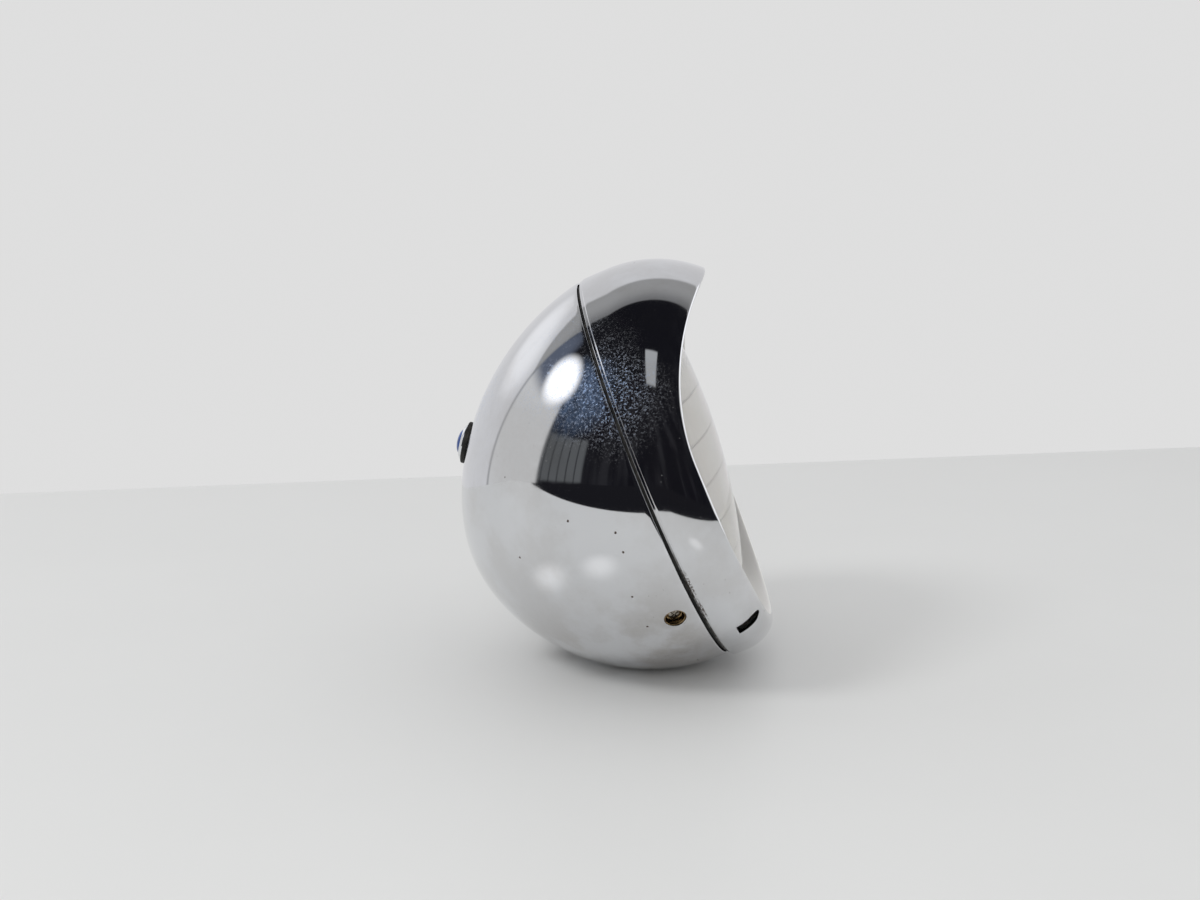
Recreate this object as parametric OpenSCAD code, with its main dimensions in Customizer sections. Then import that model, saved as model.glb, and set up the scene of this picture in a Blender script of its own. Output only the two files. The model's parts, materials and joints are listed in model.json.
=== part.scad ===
// Round motorcycle headlight with a hooded rim, standing on the flat seat under its bowl.
// The lamp's own frame has X forward along the beam, Y across and Z up, with its zero in the
// middle of the seam between bowl and rim. Every lamp piece is drawn there, then tipped back by
// lamp_tilt and lifted onto the seat, whose centre is the part's origin.

/* [Stance] */
// Nose-up angle of the beam when the seat lies level
lamp_tilt = 22.8; // [15:0.1:30]
// How far the bottom of the bowl is flattened for its seat
seat_sink = 1.91; // [0.5:0.01:1.5]

/* [Bowl] */
// Largest radius of the bowl
bowl_radius = 82.3; // [80:0.1:86]
// Length of the bowl's curve, from its widest slice to its tail, over its radius
bowl_depth = 1.0753; // [0.9:0.0001:1.2]
// Place of the widest slice, in front of the seam
bowl_widest = 3.3; // [1:0.1:8]
// Power of the bowl's curve along its length
bowl_power_long = 1.93; // [1.8:0.01:2.2]
// Power of the bowl's curve across its length
bowl_power_round = 1.78; // [1.7:0.01:2.2]
// Sag of the slice centres for each millimetre towards the tail
bowl_sag = 0.118; // [0:0.001:0.15]
// Share of that sag won back for each millimetre
bowl_sag_ease = 0.0004; // [0:0.0001:0.0006]
// Thickness of the bowl's sheet
bowl_wall = 0.9; // [0.8:0.1:1.2]

/* [Rim] */
// How far the rim's widest line stands out over the bowl
rim_over = 1.6; // [1:0.1:4]
// Thickness of the rim's sheet
rim_sheet = 1.2; // [0.8:0.1:1.3]
// Place of the rim's face in front of the seam, all round below the hood
face_depth = 22.2; // [21.5:0.1:26]
// How much further the hood reaches at the top
hood_reach = 28; // [10:0.5:40]
// How far the edge at the hood's tip lies inside the rim's widest line
hood_tip_inset = 16.2; // [10:0.1:18]
// How far the edge at the sides lies inside the rim's widest line
side_edge_inset = 4.4; // [3:0.1:6]
// How far the rolled nose at the bottom lies inside the rim's widest line
nose_inset = 9.9; // [8:0.1:13]
// Angle over the horizontal where the hood begins
hood_from = 5; // [0:1:20]
// Angle over the horizontal where the hood is full
hood_full = 85; // [70:1:90]
// Angle under the horizontal where the sharp edge begins to roll over
roll_from = 15; // [5:1:25]
// Angle under the horizontal where the nose is fully rolled
roll_full = 50; // [40:1:60]
// Arc of the skin from its widest place to the sharp edge
skin_arc = 45; // [35:1:55]
// Place of the rim's widest line in front of the seam, below the hood
skin_widest = 7; // [5:0.5:9]
// Place of the rim's widest line at the top of the hood
hood_widest = 13; // [8:0.5:18]
// How far the hood's widest line lies inside the rim's radius, at the top
hood_tuck = 1; // [0:0.1:1.2]
// Gap between the rim's neck and the bowl's mouth around it
neck_gap = 1.7; // [1.5:0.1:2.4]
// Length of the neck behind the seam
neck_length = 4; // [3:0.5:5]
// How far the sunk band beside the seam lies inside the rim's widest line
band_inset = 1.6; // [1.3:0.1:2.2]
// Width of the sunk band beside the seam
band_width = 1.7; // [1:0.1:2.5]
// Length of each drain slot in the rim
slot_length = 10; // [6:0.5:12]
// Width of each drain slot
slot_width = 3.2; // [2:0.1:4]
// Distance of each slot's middle behind the rim's face
slot_inset = 6.8; // [6:0.1:10]
// Angle of each slot under the horizontal
slot_angle = 49; // [40:1:60]

/* [Light unit] */
// Nose-down angle of the light unit in the rim
unit_drop = 5.5; // [3:0.1:7]
// Gap between the light unit and the rim's neck, where the clips stand
unit_gap = 5.9; // [5:0.1:7]
// Width of the lens's edge that the rim laps over
opening_lap = 3.2; // [2:0.1:4]
// Depth of the lens's seat behind the rim's face
unit_set = 3; // [2:0.1:5]
// Curve radius of the lens's face
lens_curve = 250; // [180:1:400]
// Height of the lens's domed face over its edge
lens_stand = 1.1; // [0.5:0.1:1.5]
// Thickness of the lens
lens_glass = 4.2; // [3:0.1:5]
// Spacing of the steps across the lens
step_pitch = 15.8; // [10:0.1:20]
// Height of the first step over the beam's axis
step_first = 10.6; // [5:0.1:14]
// Depth of each step
step_depth = 1.1; // [0.5:0.1:1.5]
// Thickness of the seal between lens and reflector
unit_seal = 1.2; // [0.8:0.1:2]
// Thickness of the reflector's sheet
reflector_sheet = 0.8; // [0.6:0.1:1.2]
// Width of the reflector's flange outside its dish
dish_flange = 6.5; // [5:0.1:9]
// Radius of the reflector's dish over its focal length
dish_shape = 3; // [2.7:0.1:3.3]
// Number of spring clips that hold the unit in the rim
clip_count = 5; // [3:1:5]
// Width of each spring clip
clip_width = 9; // [6:0.5:12]

/* [Bulb] */
// Radius of the bulb's seat flange
bulb_flange_radius = 21.5; // [20.5:0.1:22]
// Length of the reflector's collar
collar_length = 9; // [6:0.5:12]
// Width of the bulb's flange that rests on the collar
collar_lap = 2; // [1.5:0.1:3]
// Radius of the bulb's glass
bulb_radius = 8.5; // [7:0.1:9]
// Gap between the bulb's tip and the lens
bulb_clear = 10.2; // [8:0.1:20]
// Radius of the bulb's metal base
base_radius = 11; // [10:0.5:14]
// Length of the bulb's metal base behind its flange
base_length = 9; // [6:0.5:12]
// Length of the insulator behind the bulb's base
insulator_length = 4; // [3:0.5:6]
// Length of the bulb's connector blades
blade_length = 8; // [6:0.5:10]
// Width of the bulb's connector blades
blade_wide = 8; // [6:0.5:10]
// Distance of each connector blade from the bulb's axis
blade_spread = 6.5; // [5:0.1:8]
// Radius of the shield under the dipped filament
shield_radius = 4.5; // [4:0.1:6]
// Length of the shield
shield_length = 11; // [8:0.5:14]
// Distance between the bulb's two filaments, along the beam
filament_pitch = 6; // [4:0.5:8]
// Radius of each filament's coil
coil_radius = 0.8; // [0.5:0.1:1]
// Wall of the rubber boot
boot_wall = 1.6; // [1.2:0.1:2.5]

/* [Fixings] */
// Distance of the side screws behind the seam
screw_back = 8.6; // [7:0.1:10]
// Angle of the side screws under the horizontal
screw_angle = 34.5; // [25:0.5:45]
// Radius of the holes for the side screws in the bowl
screw_hole = 4.25; // [4:0.05:5]
// Radius of the side screws' shanks
screw_shank = 2; // [1.5:0.1:2.2]
// Gap round the side screws' heads in their cups
screw_head_gap = 0.45; // [0.3:0.05:0.8]
// Height of the side screws' heads
screw_head_height = 1.7; // [1.2:0.1:2]
// Thickness of the brackets and of the top tab
bracket_sheet = 1.5; // [1:0.1:2]
// Width of the brackets
bracket_width = 12; // [10:0.5:13]
// Radius of the flat seat's plate inside the bowl
plate_radius = 12; // [9:0.5:14]
// Thickness of the seat's plate
plate_thickness = 3; // [2:0.5:5]
// How much wider the bolt's hole is than the mounting nut's thread
bolt_gap = 1; // [0.8:0.05:1.5]
// Radius inside the mounting nut's thread
nut_bore = 4.25; // [3.5:0.05:4.4]
// Width of the mounting nut across its flats
nut_flats = 17; // [15:0.5:19]
// Height of the mounting nut
nut_height = 8; // [6:0.5:12]

/* [Cable entry] */
// Place of the grommet behind the seam, as a share of the bowl's length
grommet_share = 0.7458; // [0.7:0.0001:0.77]
// Radius of the grommet's bore
grommet_bore = 4; // [3:0.1:5]
// Radius of the hole in the bowl for the grommet
grommet_hole = 7; // [6:0.1:8]
// Width of the grommet's lips outside that hole
grommet_lip = 1.8; // [1:0.1:2.5]

/* [Beam indicator] */
// Place of the indicator behind the seam, as a share of the bowl's length
indicator_share = 0.7718; // [0.72:0.0001:0.79]
// Radius of the indicator's housing
housing_radius = 5.6; // [5:0.1:6]
// Length of the housing inside the bowl
housing_length = 15; // [14:0.5:18]
// Wall of the housing
housing_wall = 0.8; // [0.5:0.1:1.2]
// Width of the gasket outside the housing
gasket_width = 3.2; // [2.5:0.1:4]
// Thickness of the rubber gasket
gasket_thickness = 1.8; // [1:0.1:2.5]
// Width of the bezel outside the housing
bezel_width = 1; // [0.6:0.1:2]
// Height of the bezel over the gasket
bezel_height = 1.3; // [0.8:0.1:2]
// Width of the housing's end that the jewel leaves bare
jewel_inset = 1; // [0.6:0.1:1.6]
// Height of the jewel over the bezel
jewel_rise = 1.6; // [1:0.1:3]
// Height of the housing's six-sided nut
housing_nut_height = 2.6; // [2:0.1:4]
// Radius of that nut to its corners
housing_nut_radius = 9; // [8:0.1:10]

/* [Clearances] */
// Gap round screws and pins in their holes
hole_gap = 0.25; // [0.1:0.05:0.4]
// Gap round threads drawn plain
thread_gap = 0.05; // [0.02:0.01:0.1]
// Gap between pieces that seat on a curved face
seat_gap = 0.15; // [0.05:0.05:0.3]
// Gap of the seam between the bowl's edge and the rim
seam_gap = 1.2; // [0.8:0.1:1.6]

/* [Hidden] */

bowl_steps = 16;
bowl_sides = 72;
rim_sides = 80;
skin_steps = 10;
hood_steps = 5;
round_fine = 96;
round_small = 40;
beyond = 200;

bowl_length = bowl_radius * bowl_depth;
rim_radius = bowl_radius + rim_over;
hood_tip_radius = rim_radius - hood_tip_inset;
side_edge_radius = rim_radius - side_edge_inset;
nose_radius = rim_radius - nose_inset;
band_radius = rim_radius - band_inset;
slot_place = face_depth - slot_inset;
grommet_back = grommet_share * bowl_length;
indicator_back = indicator_share * bowl_length;

// Eased step from 0 to 1
function ease(t) = let (c = min(1, max(0, t))) c * c * (3 - 2 * c);
function mix(a, b, t) = a + (b - a) * t;
function mix_pair(a, b, t) = [for (i = [0, 1]) mix(a[i], b[i], t)];

// Bowl: round slices whose radius follows a rounded curve and whose centres sag to the tail
function bowl_share(f, wall) = max(0, (bowl_widest - f) / (bowl_length - wall));
function bowl_slice(f, wall = 0) =
  (bowl_radius - wall)
  * pow(max(0, 1 - pow(bowl_share(f, wall), bowl_power_long)), 1 / bowl_power_round);
function bowl_centre(f) = f * (bowl_sag + bowl_sag_ease * f);
function bowl_top(f) = bowl_centre(f) + bowl_slice(f);
function bowl_bottom(f) = bowl_centre(f) - bowl_slice(f);
function bowl_top_slope(f) = (bowl_top(f + 0.5) - bowl_top(f - 0.5));
function bowl_bottom_slope(f) = (bowl_bottom(f + 0.5) - bowl_bottom(f - 0.5));

// Distance from the beam's axis to the bowl, at a place and an angle under the horizontal
function bowl_reach(f, down, wall = 0) =
  let (c = -bowl_centre(f), r = bowl_slice(f, wall))
  c * sin(down) + sqrt(r * r - c * c * cos(down) * cos(down));

// The rim's neck slips into the bowl's mouth, and the light unit sits inside the neck
neck_radius = bowl_slice(0) - bowl_wall - neck_gap;
neck_inside = neck_radius - rim_sheet;
unit_radius = neck_inside - unit_gap;
opening_radius = unit_radius - opening_lap;
dish_radius = unit_radius - dish_flange;
focal_length = dish_radius / dish_shape;

// Slice of the bowl that lies lowest when the lamp stands tipped back, found by narrowing a span
function low_height(f) = f * sin(lamp_tilt) + bowl_bottom(f) * cos(lamp_tilt);
function lowest_slice(from, to, left = 40) =
  let (a = mix(from, to, 1 / 3), b = mix(from, to, 2 / 3))
  left == 0 ? (from + to) / 2
  : low_height(a) < low_height(b) ? lowest_slice(from, b, left - 1)
  : lowest_slice(a, to, left - 1);
seat_slice = lowest_slice(-bowl_length / 2, 0);
seam_height = -low_height(seat_slice) - seat_sink;
seat_back = bowl_bottom(seat_slice) * sin(lamp_tilt) - seat_slice * cos(lamp_tilt);

tail_cut = 0.9995;
function bowl_stations(wall, front) =
  let (s0 = bowl_share(front, wall))
  [for (k = [0 : bowl_steps])
    let (s = min(tail_cut, s0 + (1 - s0) * sin(90 * k / bowl_steps)))
    bowl_widest - (bowl_length - wall) * s];
function bowl_ring(f, wall) =
  [for (i = [0 : bowl_sides - 1])
    let (a = 360 * i / bowl_sides, r = bowl_slice(f, wall))
    [f, r * sin(a), bowl_centre(f) + r * cos(a)]];

// Rim: at each angle over the horizontal the folded sheet has its own section
function hood(up) = ease((up - hood_from) / (hood_full - hood_from));
function crease(up) = ease((up + roll_full) / (roll_full - roll_from));
function edge_place(up) = face_depth + hood_reach * hood(up);
function edge_radius(up) =
  mix(mix(nose_radius, side_edge_radius, crease(up)), hood_tip_radius, hood(up));
function skin_end(up) = 90 - (90 - skin_arc) * crease(up);
function widest(up) = mix(skin_widest, hood_widest, hood(up));
function skin_radius(up) = rim_radius - hood_tuck * hood(up);
function skin_long(up) = (edge_place(up) - widest(up)) / sin(skin_end(up));
function skin_deep(up) = (skin_radius(up) - edge_radius(up)) / (1 - cos(skin_end(up)));
function skin_point(up, a, inset) =
  let (deep = skin_deep(up))
  [widest(up) + (skin_long(up) - inset) * sin(a),
   skin_radius(up) - deep + (deep - inset) * cos(a)];
function skin_angle_at(up, place) = asin((place - widest(up)) / (skin_long(up) - rim_sheet));

flange_front = face_depth - unit_set;
flange_back = flange_front - rim_sheet;
lip_roll = 0.9;
band_start = seam_gap;
band_end = band_start + band_width;
roll_height = 0.5;
hidden_nose_angle = 78;
// How far the dropped unit's plane stands forward of the sides, at a distance and an angle
function unit_rise(r, up) = tan(unit_drop) * r * sin(up);
function flange_corner(up) = skin_angle_at(up, flange_front + unit_rise(side_edge_radius, up));
function flange_hidden(up) = skin_angle_at(up, flange_back + unit_rise(side_edge_radius, up));

// Underside of the hood, from its edge back to the flange that frames the lens
function under_point(up, t) =
  let (edge = skin_point(up, skin_end(up), 0),
       start = edge - [lip_roll, lip_roll],
       a = mix(skin_end(up), flange_corner(up), t),
       sheet = skin_point(up, a, rim_sheet),
       lip = [flange_front + 0.6 + unit_rise(opening_radius, up), opening_radius + 0.25],
       rolled = mix_pair(start, lip, t))
  mix_pair(rolled, sheet, crease(up));
// Back of the flange, from the lens opening outwards
function back_point(up, t) =
  let (corner = skin_point(up, flange_hidden(up), rim_sheet),
       r = mix(opening_radius, corner[1] - 0.4, t),
       flat = [flange_back + unit_rise(r, up), r],
       lip = [flange_back + unit_rise(opening_radius, up), opening_radius + 0.1 + t],
       nose_end = [face_depth - 1.4, nose_radius + 0.6],
       rolled = mix_pair(lip, nose_end, t))
  mix_pair(rolled, flat, crease(up));
function rim_section(up) =
  let (hidden_end = mix(hidden_nose_angle, flange_hidden(up), crease(up)),
       tip = skin_point(up, skin_end(up), 0),
       corner = under_point(up, 1),
       lip_rise = unit_rise(opening_radius, up))
  concat(
    [[-neck_length, neck_radius], [band_start, neck_radius], [band_start, band_radius],
     [band_end, band_radius], [band_end, skin_radius(up) - roll_height * 0.8],
     [band_end + roll_height, skin_radius(up) - roll_height * 0.24]],
    [for (k = [0 : skin_steps]) skin_point(up, skin_end(up) * k / skin_steps, 0)],
    [tip + [-0.15 * lip_roll, -0.6 * lip_roll]],
    [for (k = [0 : hood_steps]) under_point(up, k / hood_steps)],
    [mix_pair(corner, [flange_front + lip_rise, opening_radius + 0.2], 0.5),
     [flange_front - 0.25 + lip_rise, opening_radius]],
    [for (k = [0 : 2]) back_point(up, k / 2)],
    [for (k = [0 : hood_steps]) skin_point(up, hidden_end * (1 - k / hood_steps), rim_sheet)],
    [[band_end + rim_sheet, skin_radius(up) - rim_sheet],
     [band_end + rim_sheet, band_radius - rim_sheet],
     [band_start + rim_sheet, band_radius - rim_sheet],
     [band_start + rim_sheet, neck_inside],
     [-neck_length, neck_inside]]);
function rim_ring(i) =
  let (a = 360 * i / rim_sides, up = 90 - min(a, 360 - a))
  [for (p = rim_section(up)) [p[0], p[1] * sin(a), p[1] * cos(a)]];

// Greatest distance at which a flat piece of some width fits inside a round wall
function flat_in_round(radius, width) = sqrt(radius * radius - width * width / 4) - seat_gap;
bracket_place = flat_in_round(neck_inside, bracket_width);

// Light unit, from front to back
lens_edge_front = flange_back - seat_gap;
lens_edge_back = lens_edge_front - lens_glass;
lens_face_radius = opening_radius - 0.3;
lens_arc_steps = 10;
step_lowest = -floor((opening_radius + step_first) / step_pitch);
step_highest = floor((opening_radius - step_first) / step_pitch);
lens_sag = lens_curve - sqrt(pow(lens_curve, 2) - pow(lens_face_radius, 2));
lens_apex = lens_edge_front + lens_stand + lens_sag;
seal_back = lens_edge_back - unit_seal;
flange_rear = seal_back - reflector_sheet;
dish_vertex = seal_back - pow(dish_radius, 2) / (4 * focal_length);
function dish_place(r) = dish_vertex + r * r / (4 * focal_length);
collar_radius = bulb_flange_radius - collar_lap;
collar_rim = bulb_flange_radius + 1;
collar_front = dish_place(collar_radius);
collar_back = collar_front - collar_length;
collar_sheet = 1;

// Bulb, from its flange outwards
bulb_flange_sheet = 1.2;
bulb_seat = collar_back;
bulb_flange_back = bulb_seat - bulb_flange_sheet;
bulb_neck = base_radius + 1;
base_cap = 2;
base_lip = 5;
glass_wall = 0.9;
base_back = bulb_flange_back - base_length;
insulator_back = base_back - insulator_length;
glass_back = base_back + base_cap;
glass_front = lens_apex - lens_glass - bulb_clear;
pinch_front = glass_back + 6;
filament_high = dish_vertex + focal_length;
filament_low = filament_high + filament_pitch;

// Seat under the bowl, in the part's own frame
nut_base = bowl_wall + plate_thickness;
bolt_hole = nut_bore + bolt_gap;

// Draws the children in the lamp's frame
module lamp() {
  translate([seat_back, 0, seam_height]) rotate([0, -lamp_tilt, 0]) children();
}
// Draws the children in the frame of the light unit, which sits nose-down in the rim
module unit() {
  lamp() translate([flange_back, 0, 0]) rotate([0, unit_drop, 0]) translate([-flange_back, 0, 0])
    children();
}
// Turns a profile of radius and place round the beam's axis
module turned(fine = round_fine) {
  rotate([0, 90, 0]) rotate_extrude($fn = fine) children();
}
// Places children with Z pointing out of the lamp's near side, at an angle under the horizontal
module at_side(place, reach, down) {
  translate([place, -reach * cos(down), -reach * sin(down)]) rotate([90 + down, 0, 0]) children();
}
// Draws children that stand on one side, and again mirrored on the other
module both_sides() {
  children();
  mirror([0, 1, 0]) children();
}
module ring_profile(outer, inner, low, high) {
  polygon([[inner, low], [outer, low], [outer, high], [inner, high]]);
}
module tube(outer, inner, low, high, fine = round_small) {
  translate([0, 0, low]) difference() {
    cylinder(r = outer, h = high - low, $fn = fine);
    translate([0, 0, -1]) cylinder(r = inner, h = high - low + 2, $fn = fine);
  }
}
module loft_open(rings) {
  n = len(rings[0]);
  m = len(rings);
  polyhedron(
    points = [for (ring = rings) for (p = ring) p],
    faces = concat(
      [[for (i = [0 : n - 1]) i]],
      [[for (i = [0 : n - 1]) (m - 1) * n + n - 1 - i]],
      [for (k = [0 : m - 2]) for (i = [0 : n - 1]) for (half = [0, 1])
        let (j = (i + 1) % n, a = k * n + i, b = k * n + j, c = (k + 1) * n + i,
             d = (k + 1) * n + j)
        half == 0 ? [a, c, b] : [b, c, d]]));
}
module loft_closed(rings) {
  n = len(rings[0]);
  m = len(rings);
  polyhedron(
    points = [for (ring = rings) for (p = ring) p],
    faces = [for (k = [0 : m - 1]) for (i = [0 : n - 1]) for (half = [0, 1])
      let (j = (i + 1) % n, next = (k + 1) % m, a = k * n + i, b = k * n + j,
           c = next * n + i, d = next * n + j)
      half == 0 ? [a, c, b] : [b, c, d]]);
}

// Pressed steel bowl, flattened at its seat and pierced for everything that passes through it
module bucket() {
  color([0.82, 0.83, 0.85]) difference() {
    intersection() {
      lamp() loft_open([for (f = bowl_stations(0, 0)) bowl_ring(f, 0)]);
      above(0);
    }
    intersection() {
      lamp() loft_open([for (f = concat([bowl_wall], bowl_stations(bowl_wall, 0)))
        bowl_ring(f, bowl_wall)]);
      above(bowl_wall);
    }
    translate([0, 0, -1]) cylinder(r = bolt_hole, h = 5, $fn = round_small);
    lamp() {
      both_sides() at_side(-screw_back, bowl_reach(-screw_back, screw_angle), screw_angle)
        translate([0, 0, -5]) cylinder(r = screw_hole, h = 10, $fn = round_small);
      at_grommet() translate([0, 0, -6]) cylinder(r = grommet_hole, h = 12, $fn = round_small);
      at_indicator() translate([0, 0, -6])
        cylinder(r = housing_radius + hole_gap, h = 12, $fn = round_small);
    }
  }
}
module above(height) {
  translate([-beyond, -beyond, height]) cube([2 * beyond, 2 * beyond, beyond]);
}

// Rim and hood, folded from one sheet
module rim() {
  color([0.85, 0.86, 0.88]) lamp() difference() {
    loft_closed([for (i = [0 : rim_sides - 1]) rim_ring(i)]);
    both_sides() at_side(slot_place, rim_radius, slot_angle) drain_slot();
  }
}
module drain_slot() {
  end = slot_length / 2 - slot_width / 2;
  translate([0, 0, -7]) {
    translate([-slot_length / 2, -slot_width / 2, 0]) cube([slot_length / 2 + end, slot_width, 10]);
    translate([end, 0, 0]) cylinder(r = slot_width / 2, h = 10, $fn = round_small);
  }
}

// Rubber ring in the seam, a little under the bowl's skin
seal_inset = 0.25;
module rim_seal() {
  color([0.08, 0.08, 0.08]) lamp()
    turned() ring_profile(bowl_slice(0) - seal_inset, neck_radius + seat_gap, 0, seam_gap);
}

// Clear glass with a domed face; its back has the stepped lines of the beam pattern
lens_centre = lens_apex - lens_curve;
function lens_arc(curve, from, to, steps) =
  [for (k = [0 : steps])
    let (r = mix(from, to, k / steps))
    [r, lens_centre + sqrt(curve * curve - r * r)]];
module lens() {
  inner_curve = lens_curve - lens_glass;
  back_radius = sqrt(pow(inner_curve, 2) - pow(lens_edge_back + 0.3 - lens_centre, 2));
  color([0.88, 0.9, 0.86, 0.45]) unit() difference() {
    turned() polygon(concat(
      lens_arc(lens_curve, 0, lens_face_radius, lens_arc_steps),
      [[lens_face_radius, lens_edge_front], [unit_radius, lens_edge_front],
       [unit_radius, lens_edge_back], [back_radius, lens_edge_back]],
      lens_arc(inner_curve, back_radius, 0, lens_arc_steps)));
    for (k = [step_lowest : step_highest]) step_groove(step_first + k * step_pitch, inner_curve);
  }
}
// One groove across the lens's back, turned about the upright line through the dome's centre
module step_groove(height, curve) {
  reach = sqrt(curve * curve - height * height);
  translate([lens_centre, 0, 0]) rotate_extrude($fn = round_fine * 4) polygon([
    [reach - 2, height - 1.4 * step_depth], [reach + step_depth, height], [reach - 2, height + 0.6]]);
}

module lens_seal() {
  color([0.1, 0.1, 0.1]) unit()
    turned() ring_profile(unit_radius, dish_radius + 0.6, seal_back, lens_edge_back);
}

// Pressed reflector with its flange and the collar that carries the bulb
module reflector() {
  steps = 14;
  inside = [for (k = [0 : steps])
    let (r = mix(collar_radius, dish_radius, k / steps)) [r, dish_place(r)]];
  outside = [for (k = [0 : steps])
    let (r = mix(dish_radius, collar_radius + collar_sheet, k / steps))
    [r + (k == steps ? 0 : 0.3), dish_place(r) - reflector_sheet * 1.3]];
  color([0.78, 0.79, 0.8]) unit() turned() polygon(concat(
    inside,
    [[unit_radius, seal_back], [unit_radius, flange_rear], [dish_radius + 1.2, flange_rear]],
    outside,
    [[collar_radius + collar_sheet, collar_back + collar_sheet],
     [collar_rim, collar_back + collar_sheet], [collar_rim, collar_back],
     [collar_radius - 2, collar_back], [collar_radius - 2, collar_back + collar_sheet],
     [collar_radius, collar_back + collar_sheet]]));
}

// Spring clips: each hooks behind the neck and presses the unit's flange forwards
clip_angles = [180, 85, -85, 40, -40];
clip_sheet = 0.8;
clip_drop = 0.7;
function clip_foot(up) = flange_rear - seat_gap + unit_rise(unit_radius, up) - clip_drop;
module retaining_clips() {
  inner = flat_in_round(neck_inside, clip_width);
  low = inner - clip_sheet;
  hook_back = -neck_length - seat_gap;
  hook_top = neck_radius - 0.2;
  toe = unit_radius - 5;
  bend = 2;
  color([0.5, 0.52, 0.55]) lamp() for (k = [0 : clip_count - 1])
    rotate([-clip_angles[k], 0, 0]) translate([0, clip_width / 2, 0]) rotate([90, 0, 0])
      linear_extrude(height = clip_width) let (foot = clip_foot(90 - clip_angles[k])) polygon([
        [hook_back, inner], [hook_back, hook_top], [hook_back - clip_sheet, hook_top],
        [hook_back - clip_sheet, low], [bend - clip_sheet, low],
        [foot - clip_sheet, unit_radius - 1.5], [foot - clip_sheet, toe], [foot, toe],
        [foot, unit_radius - 1], [bend, inner]]);
}

// Tab at the top of the rim that reaches back under the bowl's edge
tab_length = 14;
module rim_top_tab() {
  outer = bracket_place;
  bump = bowl_top(-tab_length) - bowl_wall - seat_gap - 0.2;
  color([0.55, 0.57, 0.6]) lamp()
    translate([0, bracket_width / 2, 0]) rotate([90, 0, 0])
      linear_extrude(height = bracket_width) polygon([
        [1, outer], [-tab_length + 4, outer - 1], [-tab_length + 1, bump - 0.9],
        [-tab_length, bump - 0.9], [-tab_length, bump - 0.9 - bracket_sheet],
        [-tab_length + 2, outer - 1 - bracket_sheet], [1, outer - bracket_sheet]]);
}

// Straps inside the rim's neck that take the side screws
module rim_brackets() {
  color([0.5, 0.48, 0.44]) lamp() both_sides()
    at_side(0, bracket_place, screw_angle) difference() {
      translate([-screw_back - 7, -bracket_width / 2, -bracket_sheet])
        cube([screw_back + 9, bracket_width, bracket_sheet]);
      translate([-screw_back, 0, -bracket_sheet - 1])
        cylinder(r = screw_shank + hole_gap, h = bracket_sheet + 2, $fn = round_small);
    }
}

// Dished cup washers sunk in the bowl's side holes
cup_sheet = 0.5;
cup_outer = screw_hole - 0.1;
screw_head = cup_outer - cup_sheet - screw_head_gap;
module rim_screw_cups() {
  depth = bowl_reach(-screw_back, screw_angle) - bracket_place;
  color([0.55, 0.4, 0.2]) lamp() both_sides()
    at_side(-screw_back, bracket_place, screw_angle)
      rotate_extrude($fn = round_small) polygon([
        [screw_shank + hole_gap, 0], [cup_outer - 0.4, 0], [cup_outer, 0.6], [cup_outer, depth - 0.5],
        [cup_outer - cup_sheet, depth - 0.5], [cup_outer - cup_sheet, cup_sheet + 0.3],
        [cup_outer - cup_sheet - 0.2, cup_sheet], [screw_shank + hole_gap, cup_sheet]]);
}
module rim_screws() {
  shank_end = -bracket_sheet - 5;
  cross_turn = 20;
  cross_long = 3.6;
  cross_wide = 0.7;
  color([0.45, 0.33, 0.2]) lamp() both_sides()
    at_side(-screw_back, bracket_place, screw_angle) difference() {
      rotate_extrude($fn = round_small) polygon([
        [0, shank_end], [screw_shank, shank_end], [screw_shank, cup_sheet], [screw_head, cup_sheet],
        [screw_head, cup_sheet + screw_head_height * 0.6],
        [screw_head * 0.7, cup_sheet + screw_head_height], [0, cup_sheet + screw_head_height]]);
      for (turn = [0, 90]) rotate([0, 0, turn + cross_turn])
        translate([-cross_long / 2, -cross_wide / 2, cup_sheet + screw_head_height - 1])
          cube([cross_long, cross_wide, 2]);
    }
}
nut_side = 7;
module rim_screw_nuts() {
  height = 3.2;
  color([0.5, 0.5, 0.48]) lamp() both_sides()
    at_side(-screw_back, bracket_place, screw_angle) difference() {
      translate([-nut_side / 2, -nut_side / 2, -bracket_sheet - height])
        cube([nut_side, nut_side, height]);
      translate([0, 0, -bracket_sheet - height - 1])
        cylinder(r = screw_shank + thread_gap, h = height + 2, $fn = round_small);
    }
}

// Bulb: flange and base, glass, dip shield, filaments, insulator and blades
module bulb_base() {
  color([0.7, 0.7, 0.68]) unit() turned(round_small) polygon([
    [bulb_neck, bulb_seat], [bulb_flange_radius, bulb_seat], [bulb_flange_radius, bulb_flange_back],
    [base_radius, bulb_flange_back], [base_radius, base_back], [0, base_back],
    [0, glass_back], [base_radius - 1, glass_back], [base_radius - 1, bulb_seat + base_lip],
    [bulb_neck, bulb_seat + base_lip]]);
}
module bulb_glass() {
  dome = bulb_radius * 0.6;
  shoulder = glass_front - dome;
  steps = 8;
  inner = bulb_radius - glass_wall;
  color([0.85, 0.9, 0.95, 0.35]) unit() turned(round_small) polygon(concat(
    [[0, glass_back], [bulb_radius, glass_back]],
    [for (k = [0 : steps]) [bulb_radius * cos(90 * k / steps),
      shoulder + dome * sin(90 * k / steps)]],
    [for (k = [steps : -1 : 0]) [inner * cos(90 * k / steps),
      shoulder + (dome - glass_wall) * sin(90 * k / steps)]],
    [[inner, pinch_front], [0, pinch_front]]));
}
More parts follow.
